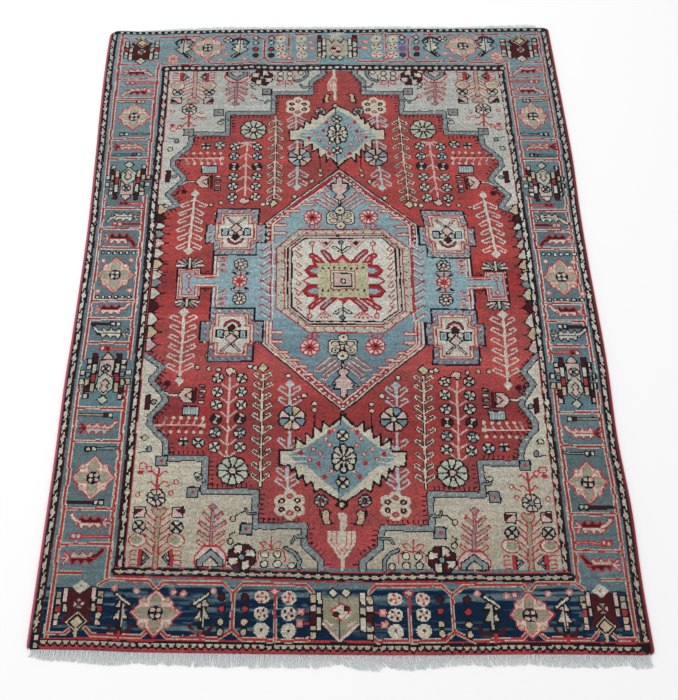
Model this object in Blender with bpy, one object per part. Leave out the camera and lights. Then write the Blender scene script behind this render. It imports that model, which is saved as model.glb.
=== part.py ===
"""A hand-knotted wool rug of the Caucasian village kind, about 1.4 by 2 metres, lying flat.

Metres, +Z up. X runs across the rug and Y along it, from the near end to the far end. The
floor is Z = 0. The rug is one flat sheet of knotted pile with a flat underside. A round
overcast edge lies along each long side. A cotton fringe lies at each end: locks that stand
apart, with their roots in a narrow strip beside the rug's edge. A hand-woven rug isn't
square, so each side follows a short table.
"""
import math
import random

import bmesh
import bpy

# Driving dimensions
RUG_THICKNESS = 0.009
RIM_DROP = 0.0026
RIM_WIDTH = 0.004
GAP = 0.0003
SELVEDGE_WIDTH = 0.0074
SELVEDGE_HEIGHT = 0.0070
RELIEF = 0.00035
CELLS_ACROSS = 22
CELLS_ALONG = 32

# Square corner to the start of its rounding
NEAR_LEFT_RADIUS = 0.004
NEAR_RIGHT_RADIUS = 0.015
FAR_LEFT_RADIUS = 0.026
FAR_RIGHT_RADIUS = 0.012

# Outer line of each overcast edge: rows of (y along the rug, x across it)
LEFT_SIDE = (
    (-0.985, -0.697),
    (-0.780, -0.695),
    (-0.523, -0.693),
    (-0.312, -0.694),
    (-0.161, -0.691),
    (0.170, -0.689),
    (0.444, -0.695),
    (0.642, -0.701),
    (0.854, -0.704),
    (0.975, -0.702),
)
RIGHT_SIDE = (
    (-1.010, 0.706),
    (-0.849, 0.704),
    (-0.662, 0.708),
    (-0.470, 0.702),
    (-0.240, 0.707),
    (0.080, 0.702),
    (0.260, 0.702),
    (0.448, 0.706),
    (0.754, 0.701),
    (0.990, 0.696),
)

# Edge of the pile at each end: rows of (x across the rug, y along it)
NEAR_END = (
    (-0.690, -0.990),
    (-0.560, -0.993),
    (-0.460, -0.998),
    (-0.260, -1.003),
    (-0.060, -1.007),
    (0.140, -1.010),
    (0.440, -1.010),
    (0.690, -1.014),
)
FAR_END = (
    (-0.690, 0.979),
    (-0.600, 0.974),
    (-0.460, 0.980),
    (-0.260, 0.987),
    (-0.060, 0.988),
    (0.240, 0.994),
    (0.440, 0.997),
    (0.690, 1.003),
)

# Fringe: rows of (x of the root, length of the lock, sideways lean of its tip)
NEAR_FRINGE = (
    (-0.690, 0.017, -0.007),
    (-0.640, 0.023, -0.003),
    (-0.560, 0.028, 0.000),
    (-0.520, 0.032, 0.000),
    (-0.460, 0.025, 0.000),
    (-0.360, 0.027, -0.001),
    (-0.250, 0.030, 0.002),
    (-0.220, 0.024, -0.003),
    (-0.190, 0.031, -0.003),
    (-0.130, 0.029, 0.007),
    (-0.060, 0.029, 0.010),
    (-0.010, 0.021, 0.012),
    (0.020, 0.031, 0.013),
    (0.072, 0.034, 0.015),
    (0.084, 0.025, 0.016),
    (0.110, 0.030, 0.013),
    (0.160, 0.032, 0.004),
    (0.200, 0.028, 0.003),
    (0.292, 0.021, 0.007),
    (0.320, 0.026, 0.008),
    (0.430, 0.022, 0.003),
    (0.460, 0.027, 0.004),
    (0.590, 0.028, 0.007),
    (0.638, 0.022, 0.006),
    (0.655, 0.030, 0.006),
    (0.690, 0.027, 0.008),
)
FAR_FRINGE = (
    (-0.670, 0.008, -0.001),
    (-0.600, 0.014, 0.000),
    (-0.460, 0.018, 0.002),
    (-0.360, 0.021, 0.001),
    (-0.260, 0.019, -0.002),
    (-0.060, 0.020, 0.002),
    (0.040, 0.018, 0.003),
    (0.240, 0.019, 0.000),
    (0.300, 0.014, -0.002),
    (0.340, 0.018, -0.002),
    (0.400, 0.013, 0.001),
    (0.500, 0.018, 0.002),
    (0.640, 0.020, -0.001),
    (0.680, 0.017, -0.001),
)
NEAR_LOCKS = 160
FAR_LOCKS = 110
ROOT_STRIP_DEPTH = 0.0040
ROOT_STRIP_HEIGHT = 0.0034
LOCK_MIDDLE_HEIGHT = 0.0028
LOCK_TIP_HEIGHT = 0.0017
LOCK_ROOT_SHARE = 0.84
LOCK_TIP_SHARE = 0.58
LOCK_LENGTH_JITTER = 0.0016
FRINGE_END_MARGIN = 0.001
MITRE_SHARE = 1.0 - 1.0 / math.sqrt(2.0)


def read_table(rows, at, column=1):
    """A table's value at a place: a smooth curve through its rows."""
    places = [row[0] for row in rows]
    values = [row[column] for row in rows]
    if at <= places[0]:
        return values[0]
    if at >= places[-1]:
        return values[-1]
    upper = next(index for index, place in enumerate(places) if place > at)
    lower = upper - 1
    span = places[upper] - places[lower]
    share = (at - places[lower]) / span

    def slope(index):
        before = max(index - 1, 0)
        after = min(index + 1, len(places) - 1)
        return (values[after] - values[before]) / (places[after] - places[before])

    square, cube = share ** 2, share ** 3
    return ((2 * cube - 3 * square + 1) * values[lower]
            + (cube - 2 * square + share) * span * slope(lower)
            + (3 * square - 2 * cube) * values[upper]
            + (cube - square) * span * slope(upper))


def mix(low, high, share):
    return low + (high - low) * share


def corner_inset(distance, radius):
    """How far a rounded corner stands in from its side, at a distance from the square corner."""
    if distance >= radius:
        return 0.0
    return radius - math.sqrt(radius ** 2 - (radius - distance) ** 2)


def cloth_left(y):
    return read_table(LEFT_SIDE, y) + SELVEDGE_WIDTH + GAP


def cloth_right(y):
    return read_table(RIGHT_SIDE, y) - SELVEDGE_WIDTH - GAP


NEAR_LEFT = (cloth_left(LEFT_SIDE[0][0]), read_table(NEAR_END, cloth_left(LEFT_SIDE[0][0])))
NEAR_RIGHT = (cloth_right(RIGHT_SIDE[0][0]), read_table(NEAR_END, cloth_right(RIGHT_SIDE[0][0])))
FAR_LEFT = (cloth_left(LEFT_SIDE[-1][0]), read_table(FAR_END, cloth_left(LEFT_SIDE[-1][0])))
FAR_RIGHT = (cloth_right(RIGHT_SIDE[-1][0]), read_table(FAR_END, cloth_right(RIGHT_SIDE[-1][0])))


def left_rim(share):
    """Point of the cloth's left side, from the near corner's middle to the far corner's."""
    y = mix(NEAR_LEFT[1] + MITRE_SHARE * NEAR_LEFT_RADIUS,
            FAR_LEFT[1] - MITRE_SHARE * FAR_LEFT_RADIUS, share)
    inset = corner_inset(y - NEAR_LEFT[1], NEAR_LEFT_RADIUS) + corner_inset(FAR_LEFT[1] - y, FAR_LEFT_RADIUS)
    return cloth_left(y) + inset, y


def right_rim(share):
    """Point of the cloth's right side, from the near corner's middle to the far corner's."""
    y = mix(NEAR_RIGHT[1] + MITRE_SHARE * NEAR_RIGHT_RADIUS,
            FAR_RIGHT[1] - MITRE_SHARE * FAR_RIGHT_RADIUS, share)
    inset = corner_inset(y - NEAR_RIGHT[1], NEAR_RIGHT_RADIUS) + corner_inset(FAR_RIGHT[1] - y, FAR_RIGHT_RADIUS)
    return cloth_right(y) - inset, y


def near_rim(share):
    """Point of the cloth's near end, from the left corner's middle to the right corner's."""
    x = mix(NEAR_LEFT[0] + MITRE_SHARE * NEAR_LEFT_RADIUS,
            NEAR_RIGHT[0] - MITRE_SHARE * NEAR_RIGHT_RADIUS, share)
    inset = corner_inset(x - NEAR_LEFT[0], NEAR_LEFT_RADIUS) + corner_inset(NEAR_RIGHT[0] - x, NEAR_RIGHT_RADIUS)
    return x, read_table(NEAR_END, x) + inset


def far_rim(share):
    """Point of the cloth's far end, from the left corner's middle to the right corner's."""
    x = mix(FAR_LEFT[0] + MITRE_SHARE * FAR_LEFT_RADIUS,
            FAR_RIGHT[0] - MITRE_SHARE * FAR_RIGHT_RADIUS, share)
    inset = corner_inset(x - FAR_LEFT[0], FAR_LEFT_RADIUS) + corner_inset(FAR_RIGHT[0] - x, FAR_RIGHT_RADIUS)
    return x, read_table(FAR_END, x) - inset


def rim_shares(cells, length):
    """Shares of a side for the sheet's lines: close together at the rim, even between."""
    close = (0.0, RIM_WIDTH, 3 * RIM_WIDTH, 7 * RIM_WIDTH)
    first = [distance / length for distance in close]
    last = [1.0 - share for share in reversed(first)]
    middle = [mix(first[-1], last[0], step / cells) for step in range(1, cells)]
    return first + middle + last


ACROSS_SHARES = rim_shares(CELLS_ACROSS, NEAR_RIGHT[0] - NEAR_LEFT[0])
ALONG_SHARES = rim_shares(CELLS_ALONG, FAR_LEFT[1] - NEAR_LEFT[1])


def cloth_point(across, along):
    """A point of the sheet between its four sides, which it blends."""
    left, right = left_rim(along), right_rim(along)
    near, far = near_rim(across), far_rim(across)
    corners = (near_rim(0.0), near_rim(1.0), far_rim(0.0), far_rim(1.0))
    point = []
    for axis in (0, 1):
        sides = mix(left[axis], right[axis], across) + mix(near[axis], far[axis], along)
        near_corners = mix(corners[0][axis], corners[1][axis], across)
        far_corners = mix(corners[2][axis], corners[3][axis], across)
        point.append(sides - mix(near_corners, far_corners, along))
    return point


def pile_height(x, y):
    """The pile's top: a little uneven, as a rug is that has been folded and walked on."""
    long_wave = math.sin(4.1 * x + 2.3 * y + 0.6) + math.sin(1.7 * x - 6.1 * y + 1.9)
    short_wave = math.sin(11.0 * x + 5.0 * y) * math.sin(3.0 * x - 9.0 * y + 0.8)
    return RUG_THICKNESS + RELIEF * (0.6 * long_wave + 0.8 * short_wave)


def wool_material(name, colour, roughness):
    material = bpy.data.materials.new(name)
    material.use_nodes = True
    shader = material.node_tree.nodes["Principled BSDF"]
    shader.inputs["Base Color"].default_value = (*colour, 1.0)
    shader.inputs["Roughness"].default_value = roughness
    shader.inputs["Metallic"].default_value = 0.0
    return material


def finish_object(name, bm, material, smooth_angle=50.0):
    bmesh.ops.recalc_face_normals(bm, faces=bm.faces)
    mesh = bpy.data.meshes.new(name)
    bm.to_mesh(mesh)
    bm.free()
    mesh.shade_smooth()
    mesh.set_sharp_from_angle(angle=math.radians(smooth_angle))
    mesh.materials.append(material)
    piece = bpy.data.objects.new(name, mesh)
    bpy.context.scene.collection.objects.link(piece)
    return piece


def make_rug():
    """The knotted sheet: a grid fitted between the four sides, its rim turned down to the floor."""
    bm = bmesh.new()
    columns, rows = len(ACROSS_SHARES) - 1, len(ALONG_SHARES) - 1
    bmesh.ops.create_grid(bm, x_segments=columns, y_segments=rows, size=1.0)
    for vert in bm.verts:
        column = round((vert.co.x + 1.0) / 2.0 * columns)
        row = round((vert.co.y + 1.0) / 2.0 * rows)
        x, y = cloth_point(ACROSS_SHARES[column], ALONG_SHARES[row])
        on_rim = column in (0, columns) or row in (0, rows)
        vert.co = (x, y, pile_height(x, y) - (RIM_DROP if on_rim else 0.0))
    rim_edges = [edge for edge in bm.edges if edge.is_boundary]
    wall = bmesh.ops.extrude_edge_only(bm, edges=rim_edges)["geom"]
    for item in wall:
        if isinstance(item, bmesh.types.BMVert):
            item.co.z = 0.0
    floor_edges = [item for item in wall if isinstance(item, bmesh.types.BMEdge)]
    bmesh.ops.contextual_create(bm, geom=floor_edges)
    colour = wool_material("madder_pile", (0.25, 0.09, 0.08), 0.92)
    return finish_object("rug", bm, colour)


def offset_line(points, distance):
    """The line that runs beside another at a set distance, to its left if that is positive."""
    line = []
    for index, (x, y) in enumerate(points):
        before = points[max(index - 1, 0)]
        after = points[min(index + 1, len(points) - 1)]
        first = math.atan2(y - before[1], x - before[0]) if index else None
        second = math.atan2(after[1] - y, after[0] - x) if index < len(points) - 1 else None
        first = second if first is None else first
        second = first if second is None else second
        heading = (first + second) / 2.0
        reach = distance / math.cos((second - first) / 2.0)
        line.append((x - math.sin(heading) * reach, y + math.cos(heading) * reach))
    return line


def grow_bar(bm, end_face, section):
    """One more length of a bar: its end face is extruded to the next section, and stays open inside."""
    at_start = len(bm.faces) == 1
    grown = bmesh.ops.extrude_face_region(bm, geom=[end_face])["geom"]
    new_end = next(item for item in grown if isinstance(item, bmesh.types.BMFace))
    if not at_start:
        bm.faces.remove(end_face)
    for vert, place in zip(new_end.verts, section):
        vert.co = place
    return new_end


def make_selvedge(name, rim, side):
    """The overcast edge: a rounded bar beside the cloth, flat where it lies on the floor."""
    # Share of the width out from the cloth, and share of the height
    section = ((0.0, 0.12), (0.0, 0.80), (0.24, 1.0), (0.70, 0.98), (1.0, 0.60), (1.0, 0.28), (0.80, 0.0), (0.12, 0.0))
    lines = [offset_line(rim, side * (GAP + share * SELVEDGE_WIDTH)) for share, _ in section]
    heights = [share * SELVEDGE_HEIGHT for _, share in section]
    bm = bmesh.new()
    first_ring = [bm.verts.new((*line[0], height)) for line, height in zip(lines, heights)]
    end_face = bm.faces.new(first_ring)
    for step in range(1, len(rim)):
        end_face = grow_bar(bm, end_face, [(*line[step], height) for line, height in zip(lines, heights)])
    colour = wool_material(name + "_wool", (0.36, 0.05, 0.07), 0.85)
    return finish_object(name, bm, colour)


def rim_y_at(rim, x):
    """Where the straight pieces of the cloth's end stand at x."""
    for (x_low, y_low), (x_high, y_high) in zip(rim, rim[1:]):
        if x <= x_high:
            return mix(y_low, y_high, (x - x_low) / (x_high - x_low))
    return rim[-1][1]


def grow_lock(bm, root, outward, length, lean, tip_width, steps):
    """One lock of warp ends, level on the floor: its root face is extruded to the tip."""
    centre = root.calc_center_median()
    low = min(vert.co.x for vert in root.verts)
    high = max(vert.co.x for vert in root.verts)
    half_root = (high - low) / 2.0
    middle_x, start_y = centre.x, centre.y
    top = centre.z
    for step in range(1, steps + 1):
        share = step / steps
        height = mix(LOCK_MIDDLE_HEIGHT, LOCK_TIP_HEIGHT, share)
        half_width = mix(half_root, tip_width / 2.0, share)
        x = middle_x + lean * share ** 1.4
        y = start_y + outward * length * share
        sides = [(vert.co.x > middle_x, vert.co.z > top) for vert in root.verts]
        grown = bmesh.ops.extrude_discrete_faces(bm, faces=[root])["faces"]
        root = grown[0]
        for vert, (on_right, on_top) in zip(root.verts, sides):
            vert.co = (x + (half_width if on_right else -half_width), y, height if on_top else 0.0)
        middle_x, top = x, height / 2.0


def make_fringe(name, rim, outward, table, corner_radii, lock_count, steps, seed):
    """A narrow strip of cotton beside the cloth's end, with the locks growing out of it."""
    draw = random.Random(seed)
    start = rim[0][0] + corner_radii[0] + FRINGE_END_MARGIN
    end = rim[-1][0] - corner_radii[1] - FRINGE_END_MARGIN
    pitch = (end - start) / lock_count
    space = pitch * (1.0 - LOCK_ROOT_SHARE)
    columns = []
    for lock in range(lock_count):
        columns.append(start + lock * pitch)
        columns.append(start + (lock + 1) * pitch - space)
    back = [rim_y_at(rim, x) + outward * GAP for x in columns]
    front = [y + outward * ROOT_STRIP_DEPTH for y in back]
    bm = bmesh.new()
    corners = ((back[0], 0.0), (front[0], 0.0), (front[0], ROOT_STRIP_HEIGHT), (back[0], ROOT_STRIP_HEIGHT))
    end_face = bm.faces.new([bm.verts.new((columns[0], y, z)) for y, z in corners])
    roots = []
    for step in range(1, len(columns)):
        section = ((columns[step], back[step], 0.0), (columns[step], front[step], 0.0),
                   (columns[step], front[step], ROOT_STRIP_HEIGHT), (columns[step], back[step], ROOT_STRIP_HEIGHT))
        end_face = grow_bar(bm, end_face, section)
        if step % 2:
            front_verts = {end_face.verts[1], end_face.verts[2]}
            roots.append(next(face for face in bm.faces
                              if face is not end_face and front_verts <= set(face.verts)))
    for root in roots:
        x = root.calc_center_median().x
        length = read_table(table, x, 1) + draw.uniform(-1.0, 1.0) * LOCK_LENGTH_JITTER - ROOT_STRIP_DEPTH
        grow_lock(bm, root, outward, length, read_table(table, x, 2), pitch * LOCK_TIP_SHARE, steps)
    colour = wool_material(name + "_cotton", (0.62, 0.64, 0.66), 0.9)
    return finish_object(name, bm, colour, smooth_angle=30.0)


def centre_on_origin(pieces):
    """The middle of the whole rug, fringes included, stands on the origin."""
    corners = [piece.matrix_world @ vert.co for piece in pieces for vert in piece.data.vertices]
    shift_x = (min(co.x for co in corners) + max(co.x for co in corners)) / 2.0
    shift_y = (min(co.y for co in corners) + max(co.y for co in corners)) / 2.0
    for piece in pieces:
        for vert in piece.data.vertices:
            vert.co.x -= shift_x
            vert.co.y -= shift_y


def main():
    for leftover in list(bpy.data.objects):
        bpy.data.objects.remove(leftover)
    left = [left_rim(share) for share in ALONG_SHARES]
    right = [right_rim(share) for share in ALONG_SHARES]
    near = [near_rim(share) for share in ACROSS_SHARES]
    far = [far_rim(share) for share in ACROSS_SHARES]
    pieces = [
        make_rug(),
        make_selvedge("selvedge_left", left, 1.0),
        make_selvedge("selvedge_right", right, -1.0),
        make_fringe("fringe_near", near, -1.0, NEAR_FRINGE, (NEAR_LEFT_RADIUS, NEAR_RIGHT_RADIUS),
                    NEAR_LOCKS, 2, seed=5),
        make_fringe("fringe_far", far, 1.0, FAR_FRINGE, (FAR_LEFT_RADIUS, FAR_RIGHT_RADIUS),
                    FAR_LOCKS, 1, seed=9),
    ]
    centre_on_origin(pieces)


main()
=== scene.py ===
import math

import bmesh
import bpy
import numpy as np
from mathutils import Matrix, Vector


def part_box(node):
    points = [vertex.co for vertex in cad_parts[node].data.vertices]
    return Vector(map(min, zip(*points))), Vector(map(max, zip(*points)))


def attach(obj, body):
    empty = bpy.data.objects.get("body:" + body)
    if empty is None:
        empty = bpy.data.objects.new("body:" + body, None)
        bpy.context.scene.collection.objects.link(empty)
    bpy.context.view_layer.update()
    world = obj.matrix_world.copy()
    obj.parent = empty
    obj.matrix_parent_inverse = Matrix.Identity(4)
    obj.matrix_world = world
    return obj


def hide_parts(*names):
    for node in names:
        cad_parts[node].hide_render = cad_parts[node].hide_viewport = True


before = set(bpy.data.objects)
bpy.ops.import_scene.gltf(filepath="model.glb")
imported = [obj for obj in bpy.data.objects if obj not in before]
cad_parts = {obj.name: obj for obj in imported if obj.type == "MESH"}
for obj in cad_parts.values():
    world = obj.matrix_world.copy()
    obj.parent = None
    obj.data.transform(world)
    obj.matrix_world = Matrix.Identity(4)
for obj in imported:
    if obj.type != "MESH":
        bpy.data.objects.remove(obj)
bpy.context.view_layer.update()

# %% [markdown]
# A hand-knotted wool rug of the Caucasian village kind. A weaver ties short tufts of dyed wool
# round pairs of cotton warps, one row of knots after another, and clips them level. The
# pattern is drawn knot by knot, so this lesson draws the whole rug as a knot chart first and
# then ties each knot as one small face of the pile. Lengths are metres in the meshes and
# millimetres on the chart.

random = np.random.default_rng(20)
scene = bpy.context.scene

# %% [markdown]
# The rug is seen from above its near end. The camera stands about 2.4 m over the floor, and
# its place was worked out from the four corners of the rug.

# %% Camera
def make_camera():
    lens = bpy.data.cameras.new("camera")
    lens.sensor_width = 36.0
    lens.sensor_fit = "AUTO"
    lens.lens = 1077.22 / 700.0 * 36.0
    lens.clip_start = 0.05
    lens.clip_end = 60.0
    camera = bpy.data.objects.new("camera", lens)
    scene.collection.objects.link(camera)
    turn = Matrix.Rotation(-0.0422, 3, "Z") @ Matrix.Rotation(0.5515, 3, "X") @ Matrix.Rotation(0.0346, 3, "Z")
    camera.rotation_euler = turn.to_euler()
    camera.location = (-0.0521, -1.6735, 2.4002)
    scene.camera = camera
    return camera


camera = make_camera()
print("lens in mm", round(camera.data.lens, 2))

# %% [markdown]
# A white, even studio floor and soft light from above. The wide lamp stands far back, so the
# pile has a soft, nearly shadowless light and only a thin shadow lies along its edge.

# %% Floor and light
def make_floor():
    bm = bmesh.new()
    bmesh.ops.create_grid(bm, x_segments=2, y_segments=2, size=9.0)
    mesh = bpy.data.meshes.new("floor")
    bm.to_mesh(mesh)
    bm.free()
    floor = bpy.data.objects.new("floor", mesh)
    floor.location.z = -0.0004
    scene.collection.objects.link(floor)
    paint = bpy.data.materials.new("pale_floor")
    paint.use_nodes = True
    shader = paint.node_tree.nodes["Principled BSDF"]
    shader.inputs["Base Color"].default_value = (0.93, 0.93, 0.93, 1.0)
    shader.inputs["Roughness"].default_value = 0.8
    shader.inputs["Specular IOR Level"].default_value = 0.1
    mesh.materials.append(paint)
    return floor


def make_lamp(name, place, aim, size, power):
    light = bpy.data.lights.new(name, "AREA")
    light.shape = "SQUARE"
    light.size = size
    light.energy = power
    lamp = bpy.data.objects.new(name, light)
    lamp.location = place
    lamp.rotation_euler = (Vector(place) - Vector(aim)).to_track_quat("Z", "Y").to_euler()
    scene.collection.objects.link(lamp)
    return lamp


def make_sky(strength):
    world = bpy.data.worlds.new("studio")
    world.use_nodes = True
    background = world.node_tree.nodes["Background"]
    background.inputs["Color"].default_value = (1.0, 1.0, 1.0, 1.0)
    background.inputs["Strength"].default_value = strength
    scene.world = world


floor = make_floor()
make_lamp("key", (-1.8, 1.6, 4.2), (0.0, 0.0, 0.0), 3.0, 90.0)
make_sky(0.78)
scene.view_settings.view_transform = "Standard"
scene.view_settings.look = "None"
scene.view_settings.exposure = 0.0

# %% [markdown]
# No village rug is square. Each side follows a short table of measured places, and the
# cloth between them is blended from its four sides, as a loom stretched out of true would
# pull it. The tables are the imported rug's own.

# %% The four sides
LEFT_SIDE = ((-0.985, -0.697), (-0.780, -0.695), (-0.523, -0.693), (-0.312, -0.694), (-0.161, -0.691),
             (0.170, -0.689), (0.444, -0.695), (0.642, -0.701), (0.854, -0.704), (0.975, -0.702))
RIGHT_SIDE = ((-1.010, 0.706), (-0.849, 0.704), (-0.662, 0.708), (-0.470, 0.702), (-0.240, 0.707),
              (0.080, 0.702), (0.260, 0.702), (0.448, 0.706), (0.754, 0.701), (0.990, 0.696))
NEAR_END = ((-0.690, -0.990), (-0.560, -0.993), (-0.460, -0.998), (-0.260, -1.003), (-0.060, -1.007),
            (0.140, -1.010), (0.440, -1.010), (0.690, -1.014))
FAR_END = ((-0.690, 0.979), (-0.600, 0.974), (-0.460, 0.980), (-0.260, 0.987), (-0.060, 0.988),
           (0.240, 0.994), (0.440, 0.997), (0.690, 1.003))
CENTRE_SHIFT = (0.0019, 0.0101)
SELVEDGE_WIDTH = 0.0074
EDGE_GAP = 0.0003
CORNER_RADII = {"near_left": 0.004, "near_right": 0.015, "far_left": 0.026, "far_right": 0.012}
MITRE = 1.0 - 1.0 / math.sqrt(2.0)


def smooth_table(rows, at):
    """A table's values at many places: a smooth curve through its rows."""
    places, values = np.array(rows, float).T
    slopes = np.gradient(values, places) * 0.0
    slopes[1:-1] = (values[2:] - values[:-2]) / (places[2:] - places[:-2])
    slopes[0] = (values[1] - values[0]) / (places[1] - places[0])
    slopes[-1] = (values[-1] - values[-2]) / (places[-1] - places[-2])
    at = np.clip(np.asarray(at, float), places[0], places[-1])
    lower = np.clip(np.searchsorted(places, at, side="right") - 1, 0, len(places) - 2)
    span = places[lower + 1] - places[lower]
    share = (at - places[lower]) / span
    square, cube = share ** 2, share ** 3
    return ((2 * cube - 3 * square + 1) * values[lower] + (cube - 2 * square + share) * span * slopes[lower]
            + (3 * square - 2 * cube) * values[lower + 1] + (cube - square) * span * slopes[lower + 1])


def rounded(distance, radius):
    """How far a rounded corner stands in from its side."""
    near = np.clip(radius - distance, 0.0, radius)
    return radius - np.sqrt(radius ** 2 - near ** 2)


def corner(end, side):
    rows = LEFT_SIDE if side == "left" else RIGHT_SIDE
    edge = rows[0][1] if end == "near" else rows[-1][1]
    x = edge + SELVEDGE_WIDTH + EDGE_GAP if side == "left" else edge - SELVEDGE_WIDTH - EDGE_GAP
    return x, float(smooth_table(NEAR_END if end == "near" else FAR_END, x))


CORNERS = {(end, side): corner(end, side) for end in ("near", "far") for side in ("left", "right")}


def side_rim(side, share):
    near, far = CORNERS["near", side], CORNERS["far", side]
    near_r, far_r = CORNER_RADII["near_" + side], CORNER_RADII["far_" + side]
    low, high = near[1] + MITRE * near_r, far[1] - MITRE * far_r
    y = low + (high - low) * share
    inset = rounded(y - near[1], near_r) + rounded(far[1] - y, far_r)
    if side == "left":
        return smooth_table(LEFT_SIDE, y) + SELVEDGE_WIDTH + EDGE_GAP + inset, y
    return smooth_table(RIGHT_SIDE, y) - SELVEDGE_WIDTH - EDGE_GAP - inset, y


def end_rim(end, share):
    left, right = CORNERS[end, "left"], CORNERS[end, "right"]
    left_r, right_r = CORNER_RADII[end + "_left"], CORNER_RADII[end + "_right"]
    low, high = left[0] + MITRE * left_r, right[0] - MITRE * right_r
    x = low + (high - low) * share
    inset = rounded(x - left[0], left_r) + rounded(right[0] - x, right_r)
    if end == "near":
        return x, smooth_table(NEAR_END, x) + inset
    return x, smooth_table(FAR_END, x) - inset


def cloth_points(across, along):
    """Points of the sheet between its four sides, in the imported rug's frame."""
    left, right = side_rim("left", along), side_rim("right", along)
    near, far = end_rim("near", across), end_rim("far", across)
    found = []
    for axis in (0, 1):
        low_left, low_right = (end_rim("near", np.array(s))[axis] for s in (0.0, 1.0))
        top_left, top_right = (end_rim("far", np.array(s))[axis] for s in (0.0, 1.0))
        sides = left[axis] * (1 - across) + right[axis] * across
        ends = near[axis] * (1 - along) + far[axis] * along
        corners = ((low_left * (1 - across) + low_right * across) * (1 - along)
                   + (top_left * (1 - across) + top_right * across) * along)
        found.append(sides + ends - corners + CENTRE_SHIFT[axis])
    return found


def pile_top(x, y):
    """The pile's height: a little uneven, as on a rug that has been folded and walked on."""
    x, y = x - CENTRE_SHIFT[0], y - CENTRE_SHIFT[1]
    long_wave = np.sin(4.1 * x + 2.3 * y + 0.6) + np.sin(1.7 * x - 6.1 * y + 1.9)
    short_wave = np.sin(11.0 * x + 5.0 * y) * np.sin(3.0 * x - 9.0 * y + 0.8)
    return 0.009 + 0.00035 * (0.6 * long_wave + 0.8 * short_wave)


rug_low, rug_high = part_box("rug")
middle = cloth_points(np.array(0.5), np.array(0.5))
print("rug box in mm", [round(1000 * v) for v in (*rug_low, *rug_high)], "middle", [round(1000 * float(v)) for v in middle])

# %% [markdown]
# Few dyes make the whole rug: madder reds, a blue that drifts from sky to navy, undyed
# ivory, and pale tan and olive. Each is named here, with its colour as it shows on the worn
# pile.

# %% Dyes
DYES = {
    "blue": (110, 134, 140),
    "red": (148, 62, 60),
    "line": (148, 46, 52),
    "maroon": (62, 23, 26),
    "salmon": (174, 100, 95),
    "pink": (176, 154, 147),
    "ivory": (176, 174, 162),
    "tan": (168, 150, 126),
    "olive": (145, 146, 129),
    "black": (24, 23, 27),
    "grey": (112, 122, 123),
    "straw": (168, 165, 134),
    "steel": (104, 122, 132),
    "cream": (174, 168, 152),
    "sky": (150, 164, 163),
    "sage": (158, 164, 148),
}
NAMES = list(DYES)
(BLUE, RED, LINE, MAROON, SALMON, PINK, IVORY, TAN, OLIVE, BLACK, GREY, STRAW, STEEL, CREAM, SKY, SAGE) = range(
    len(NAMES))
print(len(NAMES), "dyes")

# %% [markdown]
# The chart has one number for each knot: 2.9 mm each way, about twelve knots to a square
# centimetre, as in a village rug. A shape is given in millimetres from the far left corner.
# Rows of knots wander a little on a loom, so the knots' places waver by a millimetre or two.

# %% The knot chart and its pens
PITCH = 2.9
CHART_LEFT, CHART_RIGHT, CHART_LENGTH = 8.0, 1393.0, 2000.0
COLUMNS = int(round((CHART_RIGHT - CHART_LEFT) / PITCH))
ROWS = int(round(CHART_LENGTH / PITCH))
AXIS = 727.0
chart = np.full((ROWS, COLUMNS), BLUE, np.int8)


def smooth_noise(shape, cell, seed):
    """Soft random waves from -1 to 1, about cell knots long down and across."""
    rng = np.random.default_rng(seed)
    rows, cols = int(shape[0] / cell[0]) + 3, int(shape[1] / cell[1]) + 3
    coarse = rng.uniform(-1.0, 1.0, (rows, cols))
    down = np.arange(shape[0]) / cell[0]
    over = np.arange(shape[1]) / cell[1]
    r, c = down.astype(int), over.astype(int)
    fr, fc = down - r, over - c
    fr, fc = (fr * fr * (3 - 2 * fr))[:, None], (fc * fc * (3 - 2 * fc))[None, :]
    a, b = coarse[np.ix_(r, c)], coarse[np.ix_(r, c + 1)]
    d, e = coarse[np.ix_(r + 1, c)], coarse[np.ix_(r + 1, c + 1)]
    return (a * (1 - fc) + b * fc) * (1 - fr) + (d * (1 - fc) + e * fc) * fr


PLAN_CORNERS = ((-0.6996, 0.9884), (0.6920, 1.0127), (0.7005, -1.0049), (-0.6942, -0.9810))


def plan_places(x, y):
    """Chart millimetres of places on the rug, from where the chart's four corners lie on the floor."""
    rows, wanted = [], []
    for (a, b), (u, v) in zip(PLAN_CORNERS, ((0, 0), (1400, 0), (1400, 2000), (0, 2000))):
        rows += [[a, b, 1, 0, 0, 0, -u * a, -u * b], [0, 0, 0, a, b, 1, -v * a, -v * b]]
        wanted += [u, v]
    m = np.linalg.solve(np.array(rows, float), np.array(wanted, float))
    scale = m[6] * x + m[7] * y + 1.0
    return (m[0] * x + m[1] * y + m[2]) / scale, (m[3] * x + m[4] * y + m[5]) / scale


def inner_share(place, low, high):
    """0 along the rim, where the stripes follow the edge, and 1 further in."""
    return np.clip((np.minimum(place - low, high - place) - 12.0) / 45.0, 0.0, 1.0)


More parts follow.
